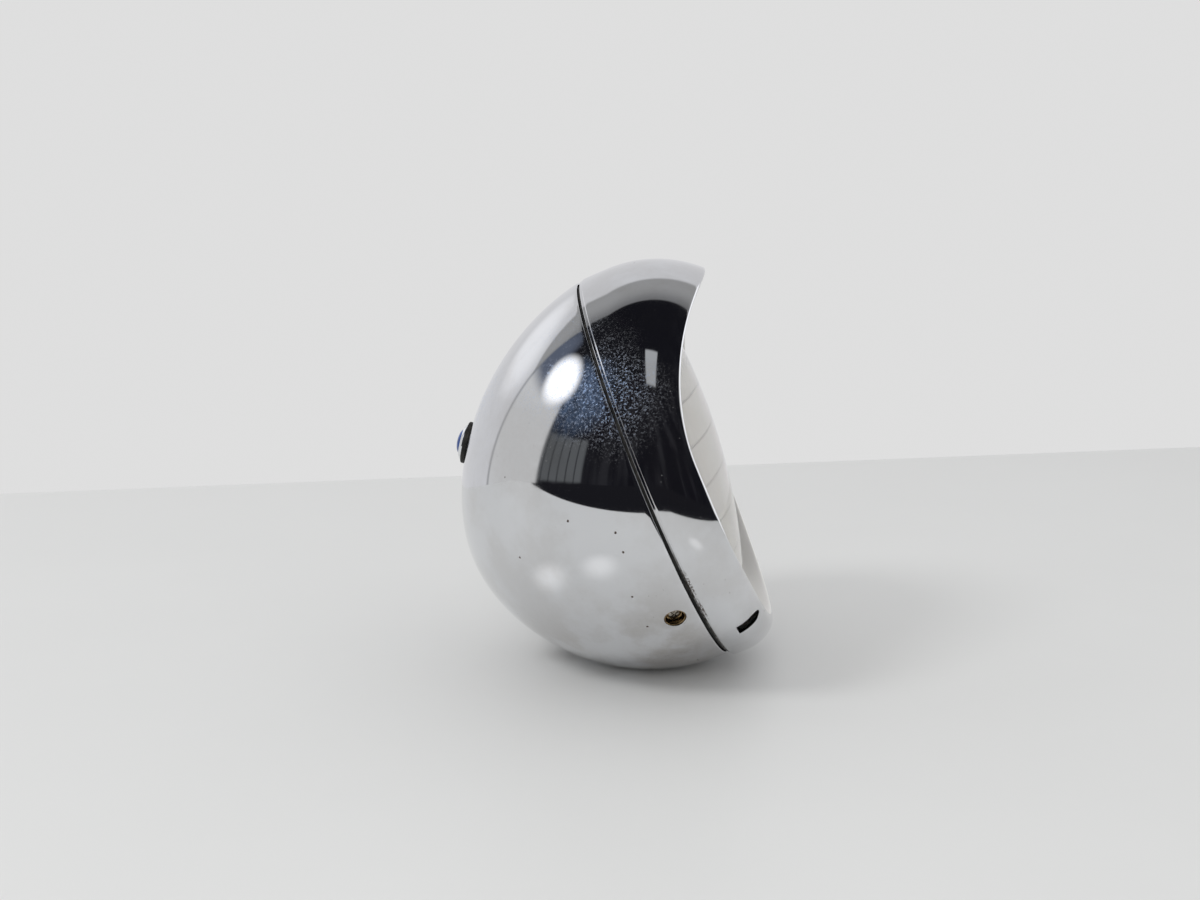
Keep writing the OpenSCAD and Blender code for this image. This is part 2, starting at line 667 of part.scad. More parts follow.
// Dished shield round the dipped filament, on its own post
module bulb_shield() {
  wall = coil_radius / 2;
  back = filament_low - 3 * wall - coil_radius;
  dish = 4 * wall;
  front = back + shield_length;
  color([0.6, 0.62, 0.65]) unit() {
    difference() {
      turned(round_small) polygon([[0, back], [shield_radius, back + dish], [shield_radius, front],
        [shield_radius - wall, front], [shield_radius - wall, back + dish + wall],
        [0, back + wall]]);
      translate([back - 1, -shield_radius - 1, coil_radius])
        cube([shield_length + 2, 2 * shield_radius + 2, shield_radius + 1]);
    }
    translate([pinch_front, 0, wall - shield_radius]) rotate([0, 90, 0])
      cylinder(r = wall, h = back + dish + wall - pinch_front, $fn = 16);
  }
}
module bulb_filaments() {
  color([0.35, 0.35, 0.36]) unit() {
    filament(filament_low + coil_radius, 2.25 * coil_radius, 4.25 * coil_radius);
    filament(filament_high - 3 * coil_radius, 0, 2.5 * coil_radius);
  }
}
// One filament: a close coil across the beam on two posts that stand in the pinch
module filament(place, height, half) {
  wire = 0.45 * coil_radius;
  for (side = [-1, 1]) translate([pinch_front, side * half, height]) rotate([0, 90, 0])
    cylinder(r = wire, h = place - pinch_front, $fn = 16);
  translate([place, -half - wire, height]) rotate([-90, 0, 0])
    cylinder(r = coil_radius, h = 2 * (half + wire), $fn = 16);
}
module bulb_insulator() {
  color([0.15, 0.15, 0.16]) unit() translate([insulator_back, 0, 0]) rotate([0, 90, 0])
    cylinder(r = base_radius - 1, h = insulator_length, $fn = round_small);
}
module bulb_terminals() {
  color([0.72, 0.7, 0.62]) unit() for (turn = [-90, 0, 90]) rotate([turn, 0, 0]) blade();
}
module blade() {
  thick = blade_length / 10;
  translate([insulator_back - blade_length, -blade_wide / 2, blade_spread - thick / 2])
    cube([blade_length, blade_wide, thick]);
}

// Wire spring that presses the bulb's flange onto the collar
module bulb_spring() {
  wire = 0.8;
  mid = bulb_flange_radius - 3;
  color([0.6, 0.62, 0.64]) unit() translate([bulb_flange_back - wire, 0, 0]) rotate([0, 90, 0])
    rotate_extrude($fn = round_small) translate([mid, 0]) circle(r = wire, $fn = 16);
}

// Rubber boot over the collar and the bulb's base
module bulb_boot() {
  front = collar_back + collar_sheet + 3;
  mouth = collar_rim + seat_gap;
  tail = base_radius - 1 + seat_gap;
  tail_back = insulator_back + 1;
  shoulder = base_back + 3;
  color([0.07, 0.07, 0.07]) unit() turned(round_small) polygon([
    [mouth, front], [mouth + boot_wall, front], [mouth + boot_wall, collar_back - 3],
    [mouth - 2 + boot_wall, collar_back - 5], [tail + 4 + boot_wall, shoulder],
    [tail + boot_wall + 0.5, base_back - 1], [tail + boot_wall + 0.5, tail_back], [tail, tail_back],
    [tail, base_back - 0.5], [base_radius + seat_gap, base_back - 0.3], [tail + 4, shoulder + 0.6],
    [mouth - 2, collar_back - 4], [mouth, collar_back - 2]]);
}

// Plate and welded nut over the flat seat
module mount_plate() {
  color([0.35, 0.35, 0.36]) tube(plate_radius, bolt_hole, bowl_wall, nut_base);
}
module mount_nut() {
  color([0.45, 0.44, 0.42]) translate([0, 0, nut_base]) difference() {
    cylinder(r = nut_flats / sqrt(3), h = nut_height, $fn = 6);
    translate([0, 0, -1]) cylinder(r = nut_bore, h = nut_height + 2, $fn = round_small);
  }
}

// Draws children with Z out of the bowl at the grommet, low on the tail
module at_grommet() {
  translate([-grommet_back, 0, bowl_bottom(-grommet_back)])
    rotate([0, 180 - atan(bowl_bottom_slope(-grommet_back)), 0]) children();
}
module wire_grommet() {
  lip = grommet_hole + grommet_lip;
  waist = grommet_hole - seat_gap;
  color([0.07, 0.07, 0.07]) lamp() at_grommet() rotate_extrude($fn = round_small) polygon([
    [grommet_bore, -bowl_wall - 2.8], [lip - 0.8, -bowl_wall - 2.4], [lip, -bowl_wall - 1.8],
    [lip, -bowl_wall - 0.85], [waist, -bowl_wall - 0.6], [waist, -0.1], [lip, -0.3],
    [lip, 0.2], [lip - 0.8, 0.9], [grommet_bore, 1.3]]);
}

// Draws children with Z out of the bowl at the indicator, high on the tail
module at_indicator() {
  translate([-indicator_back, 0, bowl_top(-indicator_back)])
    rotate([0, -atan(bowl_top_slope(-indicator_back)), 0]) children();
}
gasket_radius = housing_radius + gasket_width;
bezel_radius = housing_radius + bezel_width;
jewel_radius = housing_radius - jewel_inset;
housing_bore = jewel_radius - 0.5;
housing_lip = 1.1;
gasket_top = 0.75 + gasket_thickness;
bowl_falls = 0.45;
edge_round = 0.6;
module indicator_gasket() {
  inner = housing_radius + seat_gap;
  color([0.07, 0.07, 0.07]) lamp() at_indicator() rotate_extrude($fn = round_small) polygon([
    [inner, -0.1], [gasket_radius, -bowl_falls], [gasket_radius, gasket_top - edge_round],
    [gasket_radius - edge_round, gasket_top], [inner, gasket_top]]);
}
module indicator_bezel() {
  inner = jewel_radius + thread_gap;
  top = gasket_top + bezel_height;
  color([0.8, 0.8, 0.8]) lamp() at_indicator() rotate_extrude($fn = round_small) polygon([
    [inner, gasket_top], [bezel_radius, gasket_top], [bezel_radius, top - bezel_height / 2],
    [bezel_radius - edge_round, top], [inner, top]]);
}
module indicator_jewel() {
  base = gasket_top;
  rise = bezel_height + jewel_rise;
  steps = 8;
  wall = 0.8;
  stem = housing_bore - 0.1;
  color([0.08, 0.2, 0.6]) lamp() at_indicator() rotate_extrude($fn = round_small) polygon(concat(
    [[0, base - 1], [stem, base - 1], [stem, base], [jewel_radius, base]],
    [for (k = [0 : steps]) [jewel_radius * cos(90 * k / steps),
      base + wall + (rise - wall) * sin(90 * k / steps)]]));
}
module indicator_housing() {
  inner = housing_radius - housing_wall;
  shelf = gasket_top - housing_lip;
  floor_top = -housing_length + 1;
  color([0.6, 0.6, 0.58]) lamp() at_indicator() rotate_extrude($fn = round_small) polygon([
    [inner, floor_top], [inner, shelf], [housing_bore, shelf], [housing_bore, gasket_top],
    [housing_radius, gasket_top], [housing_radius, -housing_length],
    [contact_hole, -housing_length], [contact_hole, floor_top]]);
}
module indicator_nut() {
  color([0.55, 0.55, 0.52]) lamp() at_indicator()
    translate([0, 0, -bowl_wall - 1 - housing_nut_height]) difference() {
      cylinder(r = housing_nut_radius, h = housing_nut_height, $fn = 6);
      translate([0, 0, -1])
        cylinder(r = housing_radius + thread_gap, h = housing_nut_height + 2, $fn = round_small);
    }
}

// Small bulb with a metal base, inside the housing
contact_hole = 2.6;
module indicator_bulb() {
  base = housing_radius - housing_wall - 1.4;
  glass = base - 0.5;
  base_top = -housing_length / 2;
  glass_top = -housing_length / 5;
  steps = 6;
  color([0.85, 0.88, 0.9, 0.5]) lamp() at_indicator() rotate_extrude($fn = round_small)
    polygon(concat(
      [[0, -housing_length + 1], [base, -housing_length + 1], [base, base_top], [glass, base_top]],
      [for (k = [0 : steps]) [glass * cos(90 * k / steps),
        glass_top - glass + glass * sin(90 * k / steps)]]));
}
module indicator_contact() {
  button = contact_hole - 0.3;
  height = 2;
  blade = [2 * button + 1.6, 0.8, 4];
  color([0.7, 0.55, 0.25]) lamp() at_indicator() {
    translate([0, 0, -housing_length - 1]) cylinder(r = button, h = height, $fn = round_small);
    translate([-blade[0] / 2, -blade[1] / 2, -housing_length - 1 - blade[2]]) cube(blade);
  }
}

bucket();
rim();
rim_seal();
lens();
lens_seal();
reflector();
retaining_clips();
rim_top_tab();
rim_brackets();
rim_screws();
rim_screw_cups();
rim_screw_nuts();
bulb_base();
bulb_glass();
bulb_shield();
bulb_filaments();
bulb_insulator();
bulb_terminals();
bulb_spring();
bulb_boot();
mount_plate();
mount_nut();
wire_grommet();
indicator_jewel();
indicator_bezel();
indicator_gasket();
indicator_housing();
indicator_nut();
indicator_bulb();
indicator_contact();
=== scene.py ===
"""Finished surfaces of a round chrome motorcycle headlight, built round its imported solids.

Sizes in the classes are millimetres. A lamp point is (place along the beam, across, up), with
its zero in the middle of the seam between bowl and rim, and a placing matrix takes it into the
frame of the solids. Meshes are made in metres.
"""

import json
import logging
from dataclasses import dataclass
from enum import Enum
from math import atan, cos, degrees, pi, radians, sin, sqrt, tan
from typing import Any, Optional, Sequence

import bpy
import numpy as np
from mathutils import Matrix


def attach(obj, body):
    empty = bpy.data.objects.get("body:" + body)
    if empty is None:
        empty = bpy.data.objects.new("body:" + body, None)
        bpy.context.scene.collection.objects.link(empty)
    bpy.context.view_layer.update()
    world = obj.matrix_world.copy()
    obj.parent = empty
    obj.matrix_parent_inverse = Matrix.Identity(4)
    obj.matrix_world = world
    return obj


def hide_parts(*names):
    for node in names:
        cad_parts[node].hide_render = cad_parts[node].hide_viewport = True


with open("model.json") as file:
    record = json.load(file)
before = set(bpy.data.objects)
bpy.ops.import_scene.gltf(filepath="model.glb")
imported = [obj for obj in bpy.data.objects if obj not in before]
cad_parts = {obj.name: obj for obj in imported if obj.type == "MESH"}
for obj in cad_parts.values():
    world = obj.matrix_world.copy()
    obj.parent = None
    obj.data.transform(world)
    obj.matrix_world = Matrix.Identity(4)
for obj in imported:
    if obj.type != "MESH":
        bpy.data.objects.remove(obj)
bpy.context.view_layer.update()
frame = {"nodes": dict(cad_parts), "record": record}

Array = np.ndarray
Colour = tuple[float, float, float]
Point = tuple[float, float, float]

METRE = 0.001
SHARP_EDGE = radians(38)
UNIT_DROP = 5.5  # Degrees that the light unit sits nose-down in the rim.
FLANGE_BACK = 18.0  # Place on the beam about which it is turned.
log = logging.getLogger("headlight")


class Slot(Enum):
    """Material slots of the record."""

    CHROME = "chrome_shell"
    ZINC = "bright_metal"
    STEEL = "dark_steel"
    BRASS = "aged_brass"
    MIRROR = "mirror"
    LENS = "clear_glass"
    BULB = "bulb_glass"
    JEWEL = "blue_lens"
    RUBBER = "black_rubber"
    MOULDING = "black_moulding"


# ---- Numbers and frames ----

def ease(t: Array) -> Array:
    """Eased step from 0 to 1: t squared times (3 - 2t)."""
    t = np.clip(t, 0.0, 1.0)
    return t * t * (3.0 - 2.0 * t)


def mix(a: Any, b: Any, t: Any) -> Any:
    """Straight blend from a to b."""
    return a + (b - a) * t


def shift(x: float, y: float, z: float) -> Array:
    """Matrix that moves points.

    Args:
        x: the move along X.
        y: the move along Y.
        z: the move along Z.

    Returns:
        A 4 x 4 matrix.
    """
    m = np.eye(4)
    m[:3, 3] = (x, y, z)
    return m


def turn(axis: str, angle: float) -> Array:
    """Matrix that turns about one axis.

    Args:
        axis: "x", "y" or "z".
        angle: the turn in degrees, right-handed.

    Returns:
        A 4 x 4 matrix.
    """
    a, b = {"x": (1, 2), "y": (2, 0), "z": (0, 1)}[axis]
    c, s = cos(radians(angle)), sin(radians(angle))
    m = np.eye(4)
    m[a, a] = m[b, b] = c
    m[a, b], m[b, a] = -s, s
    return m


def placed(points: Array, matrix: Array) -> Array:
    """Points after a placing matrix."""
    return points @ matrix[:3, :3].T + matrix[:3, 3]


BEAM_UP = turn("y", -90)


# ---- Outlines and grids ----

def rounded(chain: Array, cuts: Sequence[float], steps: int = 5) -> Array:
    """Rounds the inner corners of an open chain of points.

    With a and b the unit directions from a corner P to its neighbours and d the cut, the corner
    becomes the curve P + a d (1 - t)^2 + b d t^2.

    Args:
        chain: points, shape (..., n + 2, 2); the first and last only give directions.
        cuts: how far each of the n corners is cut back.
        steps: points for each corner.

    Returns:
        The rounded corners alone, shape (..., n * steps, 2).
    """
    corner = chain[..., 1:-1, :]
    back, on = chain[..., :-2, :] - corner, chain[..., 2:, :] - corner
    back_long = np.maximum(np.linalg.norm(back, axis=-1, keepdims=True), 1e-9)
    on_long = np.maximum(np.linalg.norm(on, axis=-1, keepdims=True), 1e-9)
    reach = np.minimum(np.asarray(cuts, float)[:, None], 0.45 * np.minimum(back_long, on_long))
    t = np.linspace(0.0, 1.0, steps)[:, None]
    curve = (corner[..., None, :] + (back / back_long * reach)[..., None, :] * (1 - t) ** 2
             + (on / on_long * reach)[..., None, :] * t ** 2)
    return curve.reshape(*corner.shape[:-2], -1, 2)


def closed_outline(corners: Sequence[Sequence[float]], cut: float, steps: int = 5) -> Array:
    """Closed outline of (place, radius) corners, each rounded by the same cut."""
    p = np.asarray(corners, float)
    return rounded(np.vstack([p[-1:], p, p[:1]]), [cut] * len(p), steps)


def axis_outline(corners: Sequence[Sequence[float]], cut: float, steps: int = 5) -> Array:
    """Outline that starts and ends on the axis, its inner corners rounded by the same cut."""
    p = np.asarray(corners, float)
    return np.vstack([p[:1], rounded(p, [cut] * (len(p) - 2), steps), p[-1:]])


def revolve(outline: Array, sides: int) -> Array:
    """Turns an outline round the X axis: (place, r sin a, r cos a).

    Args:
        outline: points of (place, radius), shape (n, 2).
        sides: points round the axis.

    Returns:
        A grid of shape (sides, n, 3).
    """
    a = np.linspace(0.0, 2 * pi, sides, endpoint=False)[:, None]
    place, radius = outline[:, 0], outline[:, 1]
    parts = np.broadcast_arrays(place + 0 * a, radius * np.sin(a), radius * np.cos(a))
    return np.stack(parts, -1)


def sweep(path: Array, radius: float, sides: int = 10) -> Array:
    """Round wire along a path.

    Each ring stands square to the path: its first arm is the path's own outward direction made
    square to the tangent, its second arm is the cross product of the two.

    Args:
        path: points along the wire's middle, shape (n, 3).
        radius: the wire's radius.
        sides: points round the wire.

    Returns:
        A grid of shape (sides, n, 3).
    """
    along = np.gradient(path, axis=0)
    along /= np.linalg.norm(along, axis=1, keepdims=True)
    out = path - path.mean(0) + np.array([0.013, 0.007, 0.011])
    out -= along * (out * along).sum(1, keepdims=True)
    out /= np.linalg.norm(out, axis=1, keepdims=True)
    across = np.cross(along, out)
    a = np.linspace(0.0, 2 * pi, sides, endpoint=False)[:, None, None]
    return path + radius * (np.cos(a) * out + np.sin(a) * across)


def grid_faces(rows: int, cols: int, loop_rows: bool, loop_cols: bool) -> Array:
    """Quads that join each grid point to the next.

    Args:
        rows: points down the grid.
        cols: points across it.
        loop_rows: whether the last row joins the first.
        loop_cols: whether the last column joins the first.

    Returns:
        Point numbers, shape (quads, 4).
    """
    r = np.arange(rows if loop_rows else rows - 1)
    c = np.arange(cols if loop_cols else cols - 1)
    a, b = (v.ravel() for v in np.meshgrid(r, c, indexing="ij"))
    up, right = (a + 1) % rows, (b + 1) % cols
    return np.stack([a * cols + b, up * cols + b, up * cols + right, a * cols + right], -1)


def inside_out(points: Array, faces: Array) -> bool:
    """Tells whether closed faces point inwards, by the signed volume under them.

    Args:
        points: shape (n, 3).
        faces: quads of point numbers, shape (m, 4).

    Returns:
        True where the volume is negative.
    """
    fan = np.vstack([faces[:, [0, 1, 2]], faces[:, [0, 2, 3]]])
    p = points[fan]
    return float((p[:, 0] * np.cross(p[:, 1], p[:, 2])).sum()) < 0


def shape(name: str, grid: Array, loop_cols: bool = True, tips: Optional[Array] = None,
          extra: Optional[Array] = None) -> bpy.types.Object:
    """Makes an object from a grid that is looped in its rows.

    Args:
        name: the piece's name.
        grid: millimetre points in the frame of the solids, shape (rows, cols, 3).
        loop_cols: whether the columns form a loop as well.
        tips: two points that close the first and the last column, where columns are open.
        extra: quads of grid indices that close an open end.

    Returns:
        The object, with smooth faces that point outwards.
    """
    rows, cols = grid.shape[:2]
    points = grid.reshape(-1, 3)
    faces = grid_faces(rows, cols, extra is None, loop_cols)
    if extra is not None:
        faces = np.vstack([faces, extra])
    if tips is not None:
        first = np.arange(rows) * cols
        after = np.roll(first, -1)
        start, end = np.full(rows, len(points)), np.full(rows, len(points) + 1)
        last = cols - 1
        faces = np.vstack([faces, np.stack([start, after, first, start], -1),
                           np.stack([end, first + last, after + last, end], -1)])
        points = np.vstack([points, tips])
    if inside_out(points, faces):
        faces = faces[:, ::-1]
    mesh = bpy.data.meshes.new(name)
    is_fan = faces[:, 0] == faces[:, 3]
    mesh.from_pydata((points * METRE).tolist(), [],
                     faces[~is_fan].tolist() + faces[is_fan][:, :3].tolist())
    mesh.update()
    mesh.shade_smooth()
    mesh.set_sharp_from_angle(angle=SHARP_EDGE)
    made = bpy.data.objects.new(name, mesh)
    bpy.context.scene.collection.objects.link(made)
    return made


def turned(name: str, outline: Array, matrix: Array, sides: int = 96) -> bpy.types.Object:
    """Turned piece, closed at its tips where its outline ends on the axis.

    Args:
        name: the piece's name.
        outline: points of (place, radius).
        matrix: where the piece stands.
        sides: points round the axis.

    Returns:
        The object.
    """
    ends = outline[[0, -1]]
    on_axis = bool((np.abs(ends[:, 1]) < 1e-6).all())
    body = outline[1:-1] if on_axis else outline
    grid = placed(revolve(body, sides), matrix)
    tips = None
    if on_axis:
        tips = placed(np.stack([ends[:, 0], 0 * ends[:, 0], 0 * ends[:, 0]], -1), matrix)
    return shape(name, grid, loop_cols=not on_axis, tips=tips)


def wire(name: str, path: Array, radius: float, matrix: Array) -> bpy.types.Object:
    """Round wire along a path, closed at both ends."""
    grid = placed(sweep(path, radius), matrix)
    return shape(name, grid, loop_cols=False, tips=placed(path[[0, -1]], matrix))


def cut_out(body: bpy.types.Object, cutters: Sequence[bpy.types.Object]) -> None:
    """Takes the cutters out of a piece and removes them.

    Args:
        body: the piece, which gets the cut mesh.
        cutters: closed objects that take away what lies inside them.
    """
    for cutter in cutters:
        step = body.modifiers.new("cut", "BOOLEAN")
        step.operation, step.solver, step.object = "DIFFERENCE", "EXACT", cutter
    bpy.context.view_layer.update()
    done = body.evaluated_get(bpy.context.evaluated_depsgraph_get())
    mesh = bpy.data.meshes.new_from_object(done)
    body.modifiers.clear()
    body.data = mesh
    mesh.shade_smooth()
    mesh.set_sharp_from_angle(angle=SHARP_EDGE)
    for cutter in cutters:
        bpy.data.objects.remove(cutter)


def punch(radius: float, lip: float, matrix: Array, depth: float = 6.0) -> bpy.types.Object:
    """Round cutter that leaves a rolled lip.

    Its wall is straight up to the lip, then widens by lip - sqrt(lip^2 - t^2) as it rises by t.

    Args:
        radius: the hole's radius.
        lip: the rolled lip's radius.
        matrix: a frame on the skin whose Z points out of it.
        depth: how far the cutter reaches either way.

    Returns:
        The cutter.
    """
    t = np.linspace(0.0, lip, 6)
    wide = radius + lip - np.sqrt(np.maximum(lip * lip - t * t, 0.0))
    wall = np.stack([t - lip, wide], -1)
    outline = np.vstack([[-depth, 0.0], [-depth, radius], wall, [depth, radius + lip],
                         [depth, 0.0]])
    return turned("cutter", outline, matrix @ BEAM_UP, 72)


# ---- Shader expressions ----

class Value:
    """A node's output that can stand in a Python expression."""

    def __init__(self, nodes: "Nodes", socket: bpy.types.NodeSocket) -> None:
        """Wraps one output socket of a node tree."""
        self.nodes = nodes
        self.socket = socket

    def math(self, operation: str, *parts: Any) -> "Value":
        """Result of a Math node on the given parts."""
        node = self.nodes.add("ShaderNodeMath", {"operation": operation}, dict(enumerate(parts)))
        return Value(self.nodes, node.outputs[0])

    def __add__(self, other: Any) -> "Value":
        """Sum."""
        return self.math("ADD", self, other)

    def __radd__(self, other: Any) -> "Value":
        """Sum with a number on the left."""
        return self.math("ADD", other, self)

    def __sub__(self, other: Any) -> "Value":
        """Difference."""
        return self.math("SUBTRACT", self, other)

    def __rsub__(self, other: Any) -> "Value":
        """Difference from a number on the left."""
        return self.math("SUBTRACT", other, self)

    def __mul__(self, other: Any) -> "Value":
        """Product."""
        return self.math("MULTIPLY", self, other)

    def __rmul__(self, other: Any) -> "Value":
        """Product with a number on the left."""
        return self.math("MULTIPLY", other, self)

    def __truediv__(self, other: Any) -> "Value":
        """Quotient."""
        return self.math("DIVIDE", self, other)

    def __neg__(self) -> "Value":
        """The value with its sign changed."""
        return self.math("MULTIPLY", self, -1.0)

    def __abs__(self) -> "Value":
        """The value without its sign."""
        return self.math("ABSOLUTE", self)

    def root(self) -> "Value":
        """Square root."""
        return self.math("SQRT", self)

    def most(self, other: Any) -> "Value":
        """The larger of two values."""
        return self.math("MAXIMUM", self, other)

    def rise(self, low: float, high: float) -> "Value":
        """Eased step.

        Args:
            low: where the step is 0.
            high: where it is 1, above low or below it.

        Returns:
            The step's value.
        """
        if high < low:
            return 1.0 - self.rise(high, low)
        node = self.nodes.add("ShaderNodeMapRange", {"interpolation_type": "SMOOTHSTEP"},
                              {0: self, 1: low, 2: high})
        return Value(self.nodes, node.outputs[0])

    def inside(self, low: float, high: float, soft: float) -> "Value":
        """1 between low and high, with soft edges."""
        return self.rise(low - soft, low + soft) * self.rise(high + soft, high - soft)


class Nodes:
    """A node tree and the few ways in which nodes are added to it."""

    def __init__(self, tree: bpy.types.NodeTree) -> None:
        """Empties the tree and keeps it."""
        self.tree = tree
        tree.nodes.clear()

    def add(self, kind: str, settings: Optional[dict[str, Any]] = None,
            sockets: Optional[dict[Any, Any]] = None) -> bpy.types.Node:
        """Adds any node.

        Args:
            kind: the node's type.
            settings: its properties, set first.
            sockets: its inputs by name or number, each a number, a colour or a Value.

        Returns:
            The node.
        """
        node = self.tree.nodes.new(kind)
        for key, setting in (settings or {}).items():
            setattr(node, key, setting)
        for key, given in (sockets or {}).items():
            socket = node.inputs[key]
            if isinstance(given, Value):
                self.tree.links.new(given.socket, socket)
            elif isinstance(given, bpy.types.NodeSocket):
                self.tree.links.new(given, socket)
            elif isinstance(given, tuple) and socket.type == "RGBA":
                socket.default_value = (*given, 1.0)
            else:
                socket.default_value = given
        return node

    def value(self, node: bpy.types.Node, output: Any = 0) -> Value:
        """One output of a node as a value."""
        return Value(self, node.outputs[output])

    def parts(self, vector: Any) -> tuple[Value, Value, Value]:
        """The three numbers of a vector."""
        node = self.add("ShaderNodeSeparateXYZ", sockets={0: vector})
        return self.value(node, 0), self.value(node, 1), self.value(node, 2)

    def tint(self, share: Any, low: Any, high: Any) -> Value:
        """Colour blend from low to high."""
        node = self.add("ShaderNodeMix", {"data_type": "RGBA"}, {0: share, 6: low, 7: high})
        return self.value(node, 2)

    def noise(self, where: Any, scale: float, detail: float = 3.0, rough: float = 0.55) -> Value:
        """Soft noise.

        Args:
            where: the vector it is read at.
            scale: waves to the metre.
            detail: how many finer layers it has.
            rough: the share that each finer layer keeps.

        Returns:
            Its value, mostly between 0.3 and 0.7.
        """
        node = self.add("ShaderNodeTexNoise", sockets={
            "Vector": where, "Scale": scale, "Detail": detail, "Roughness": rough})
        return self.value(node, 0)

    def dots(self, where: Any, scale: float, size: float) -> Value:
        """Scattered round dots, one to a cell, of a radius that is a share of the cell."""
        node = self.add("ShaderNodeTexVoronoi", sockets={"Vector": where, "Scale": scale})
        return self.value(node, 0).rise(size, size * 0.6)

    def near(self, where: Any, point: Point, radius: float, soft: float = 0.5) -> Value:
        """Mask round a point.

        Args:
            where: the vector it is read at, in metres.
            point: its middle, in millimetres.
            radius: its radius, in millimetres.
            soft: the share of the radius over which it fades, either way.

        Returns:
            1 near the point and 0 away from it.
        """
        centre = tuple(c * METRE for c in point)
        node = self.add("ShaderNodeVectorMath", {"operation": "DISTANCE"},
                        {0: where, 1: centre})
        reach = radius * METRE
        return self.value(node, 1).rise(reach * (1 + soft), reach * (1 - soft))

    def near_any(self, where: Any, points: Sequence[Point], radius: float,
                 soft: float = 0.5) -> Value:
        """Mask round several points.

        Args:
            where: the vector it is read at, in metres.
            points: their middles, in millimetres.
            radius: their radius, in millimetres.
            soft: the share of the radius over which they fade, either way.

        Returns:
            1 near any of the points and 0 away from them.
        """
        found = self.near(where, points[0], radius, soft)
        for point in points[1:]:
            found = found.most(self.near(where, point, radius, soft))
        return found

    def bump(self, height: Value, strength: float, distance: float) -> Value:
        """Normal that follows a height, its distance in millimetres."""
        node = self.add("ShaderNodeBump", sockets={
            "Height": height, "Strength": strength, "Distance": distance * METRE})
        return self.value(node, 0)


def start_material(name: str) -> tuple[bpy.types.Material, Nodes, Value]:
    """Starts a material.

    Args:
        name: the material's name.

    Returns:
        The material, its nodes and its object coordinates.
    """
    material = bpy.data.materials.new(name)
    material.use_nodes = True
    nodes = Nodes(material.node_tree)
    where = nodes.value(nodes.add("ShaderNodeTexCoord"), "Object")
    return material, nodes, where


def end_material(material: bpy.types.Material, nodes: Nodes,
                 sockets: dict[str, Any]) -> bpy.types.Material:
    """Closes a material with its Principled shader.

    Args:
        material: the material.
        nodes: its nodes.
        sockets: the shader's inputs.

    Returns:
        The same material.
    """
    shader = nodes.add("ShaderNodeBsdfPrincipled", sockets=sockets)
    nodes.add("ShaderNodeOutputMaterial", sockets={0: shader.outputs[0]})
    return material


# ---- The lamp's frames ----

@dataclass(frozen=True)
class Stance:
    """How the lamp stands: its own frame tipped back and lifted onto the seat."""

    tilt: float = 22.8
    back: float = 2.7245
    height: float = 82.004
    unit_drop: float = UNIT_DROP
    flange_back: float = FLANGE_BACK

    @property
    def lamp(self) -> Array:
        """Matrix from the lamp's frame to the frame of the solids."""
        return shift(self.back, 0, self.height) @ turn("y", -self.tilt)

    @property
    def unit(self) -> Array:
        """Matrix from the light unit's frame, which sits nose-down in the rim."""
        return (self.lamp @ shift(self.flange_back, 0, 0) @ turn("y", self.unit_drop)
                @ shift(-self.flange_back, 0, 0))

    def side(self, place: float, reach: float, down: float, hand: int) -> Array:
        """Frame on the lamp's side.

        Args:
            place: its place along the beam.
            reach: its distance from the beam's axis.
            down: its angle under the horizontal, in degrees.
            hand: 1 for the near side, -1 for the far side.

        Returns:
            A matrix whose Z points out of the side.
        """
        near = (shift(place, -reach * cos(radians(down)), -reach * sin(radians(down)))
                @ turn("x", 90 + down))
        return self.lamp @ np.diag([1.0, float(hand), 1.0, 1.0]) @ near


# ---- Finishes ----

@dataclass(frozen=True)
class PlainFinish:
    """Metal, rubber or moulding with a fine grain and uneven wear."""

    name: str
    colour: Colour
    worn: Colour
    metallic: float
    roughness: float
    spread: float = 0.1
    grain: float = 900.0
    patch: float = 70.0
    worn_from: float = 0.5
    relief: float = 0.05
    specular: float = 0.5

    def made(self) -> bpy.types.Material:
        """Builds the material: patches blend the two colours, and grain moves roughness.

        Returns:
            The material.
        """
        material, nodes, where = start_material(self.name)
        patch = nodes.noise(where, self.patch, 4.0, 0.6)
        grain = nodes.noise(where, self.grain, 2.0)
        share = patch.rise(self.worn_from - 0.12, self.worn_from + 0.2)
        return end_material(material, nodes, {
            "Base Color": nodes.tint(share, self.colour, self.worn),
            "Roughness": self.roughness + self.spread * share + self.spread * (grain - 0.5),
            "Metallic": self.metallic, "Specular IOR Level": self.specular,
            "Normal": nodes.bump(grain, 0.5, self.relief)})


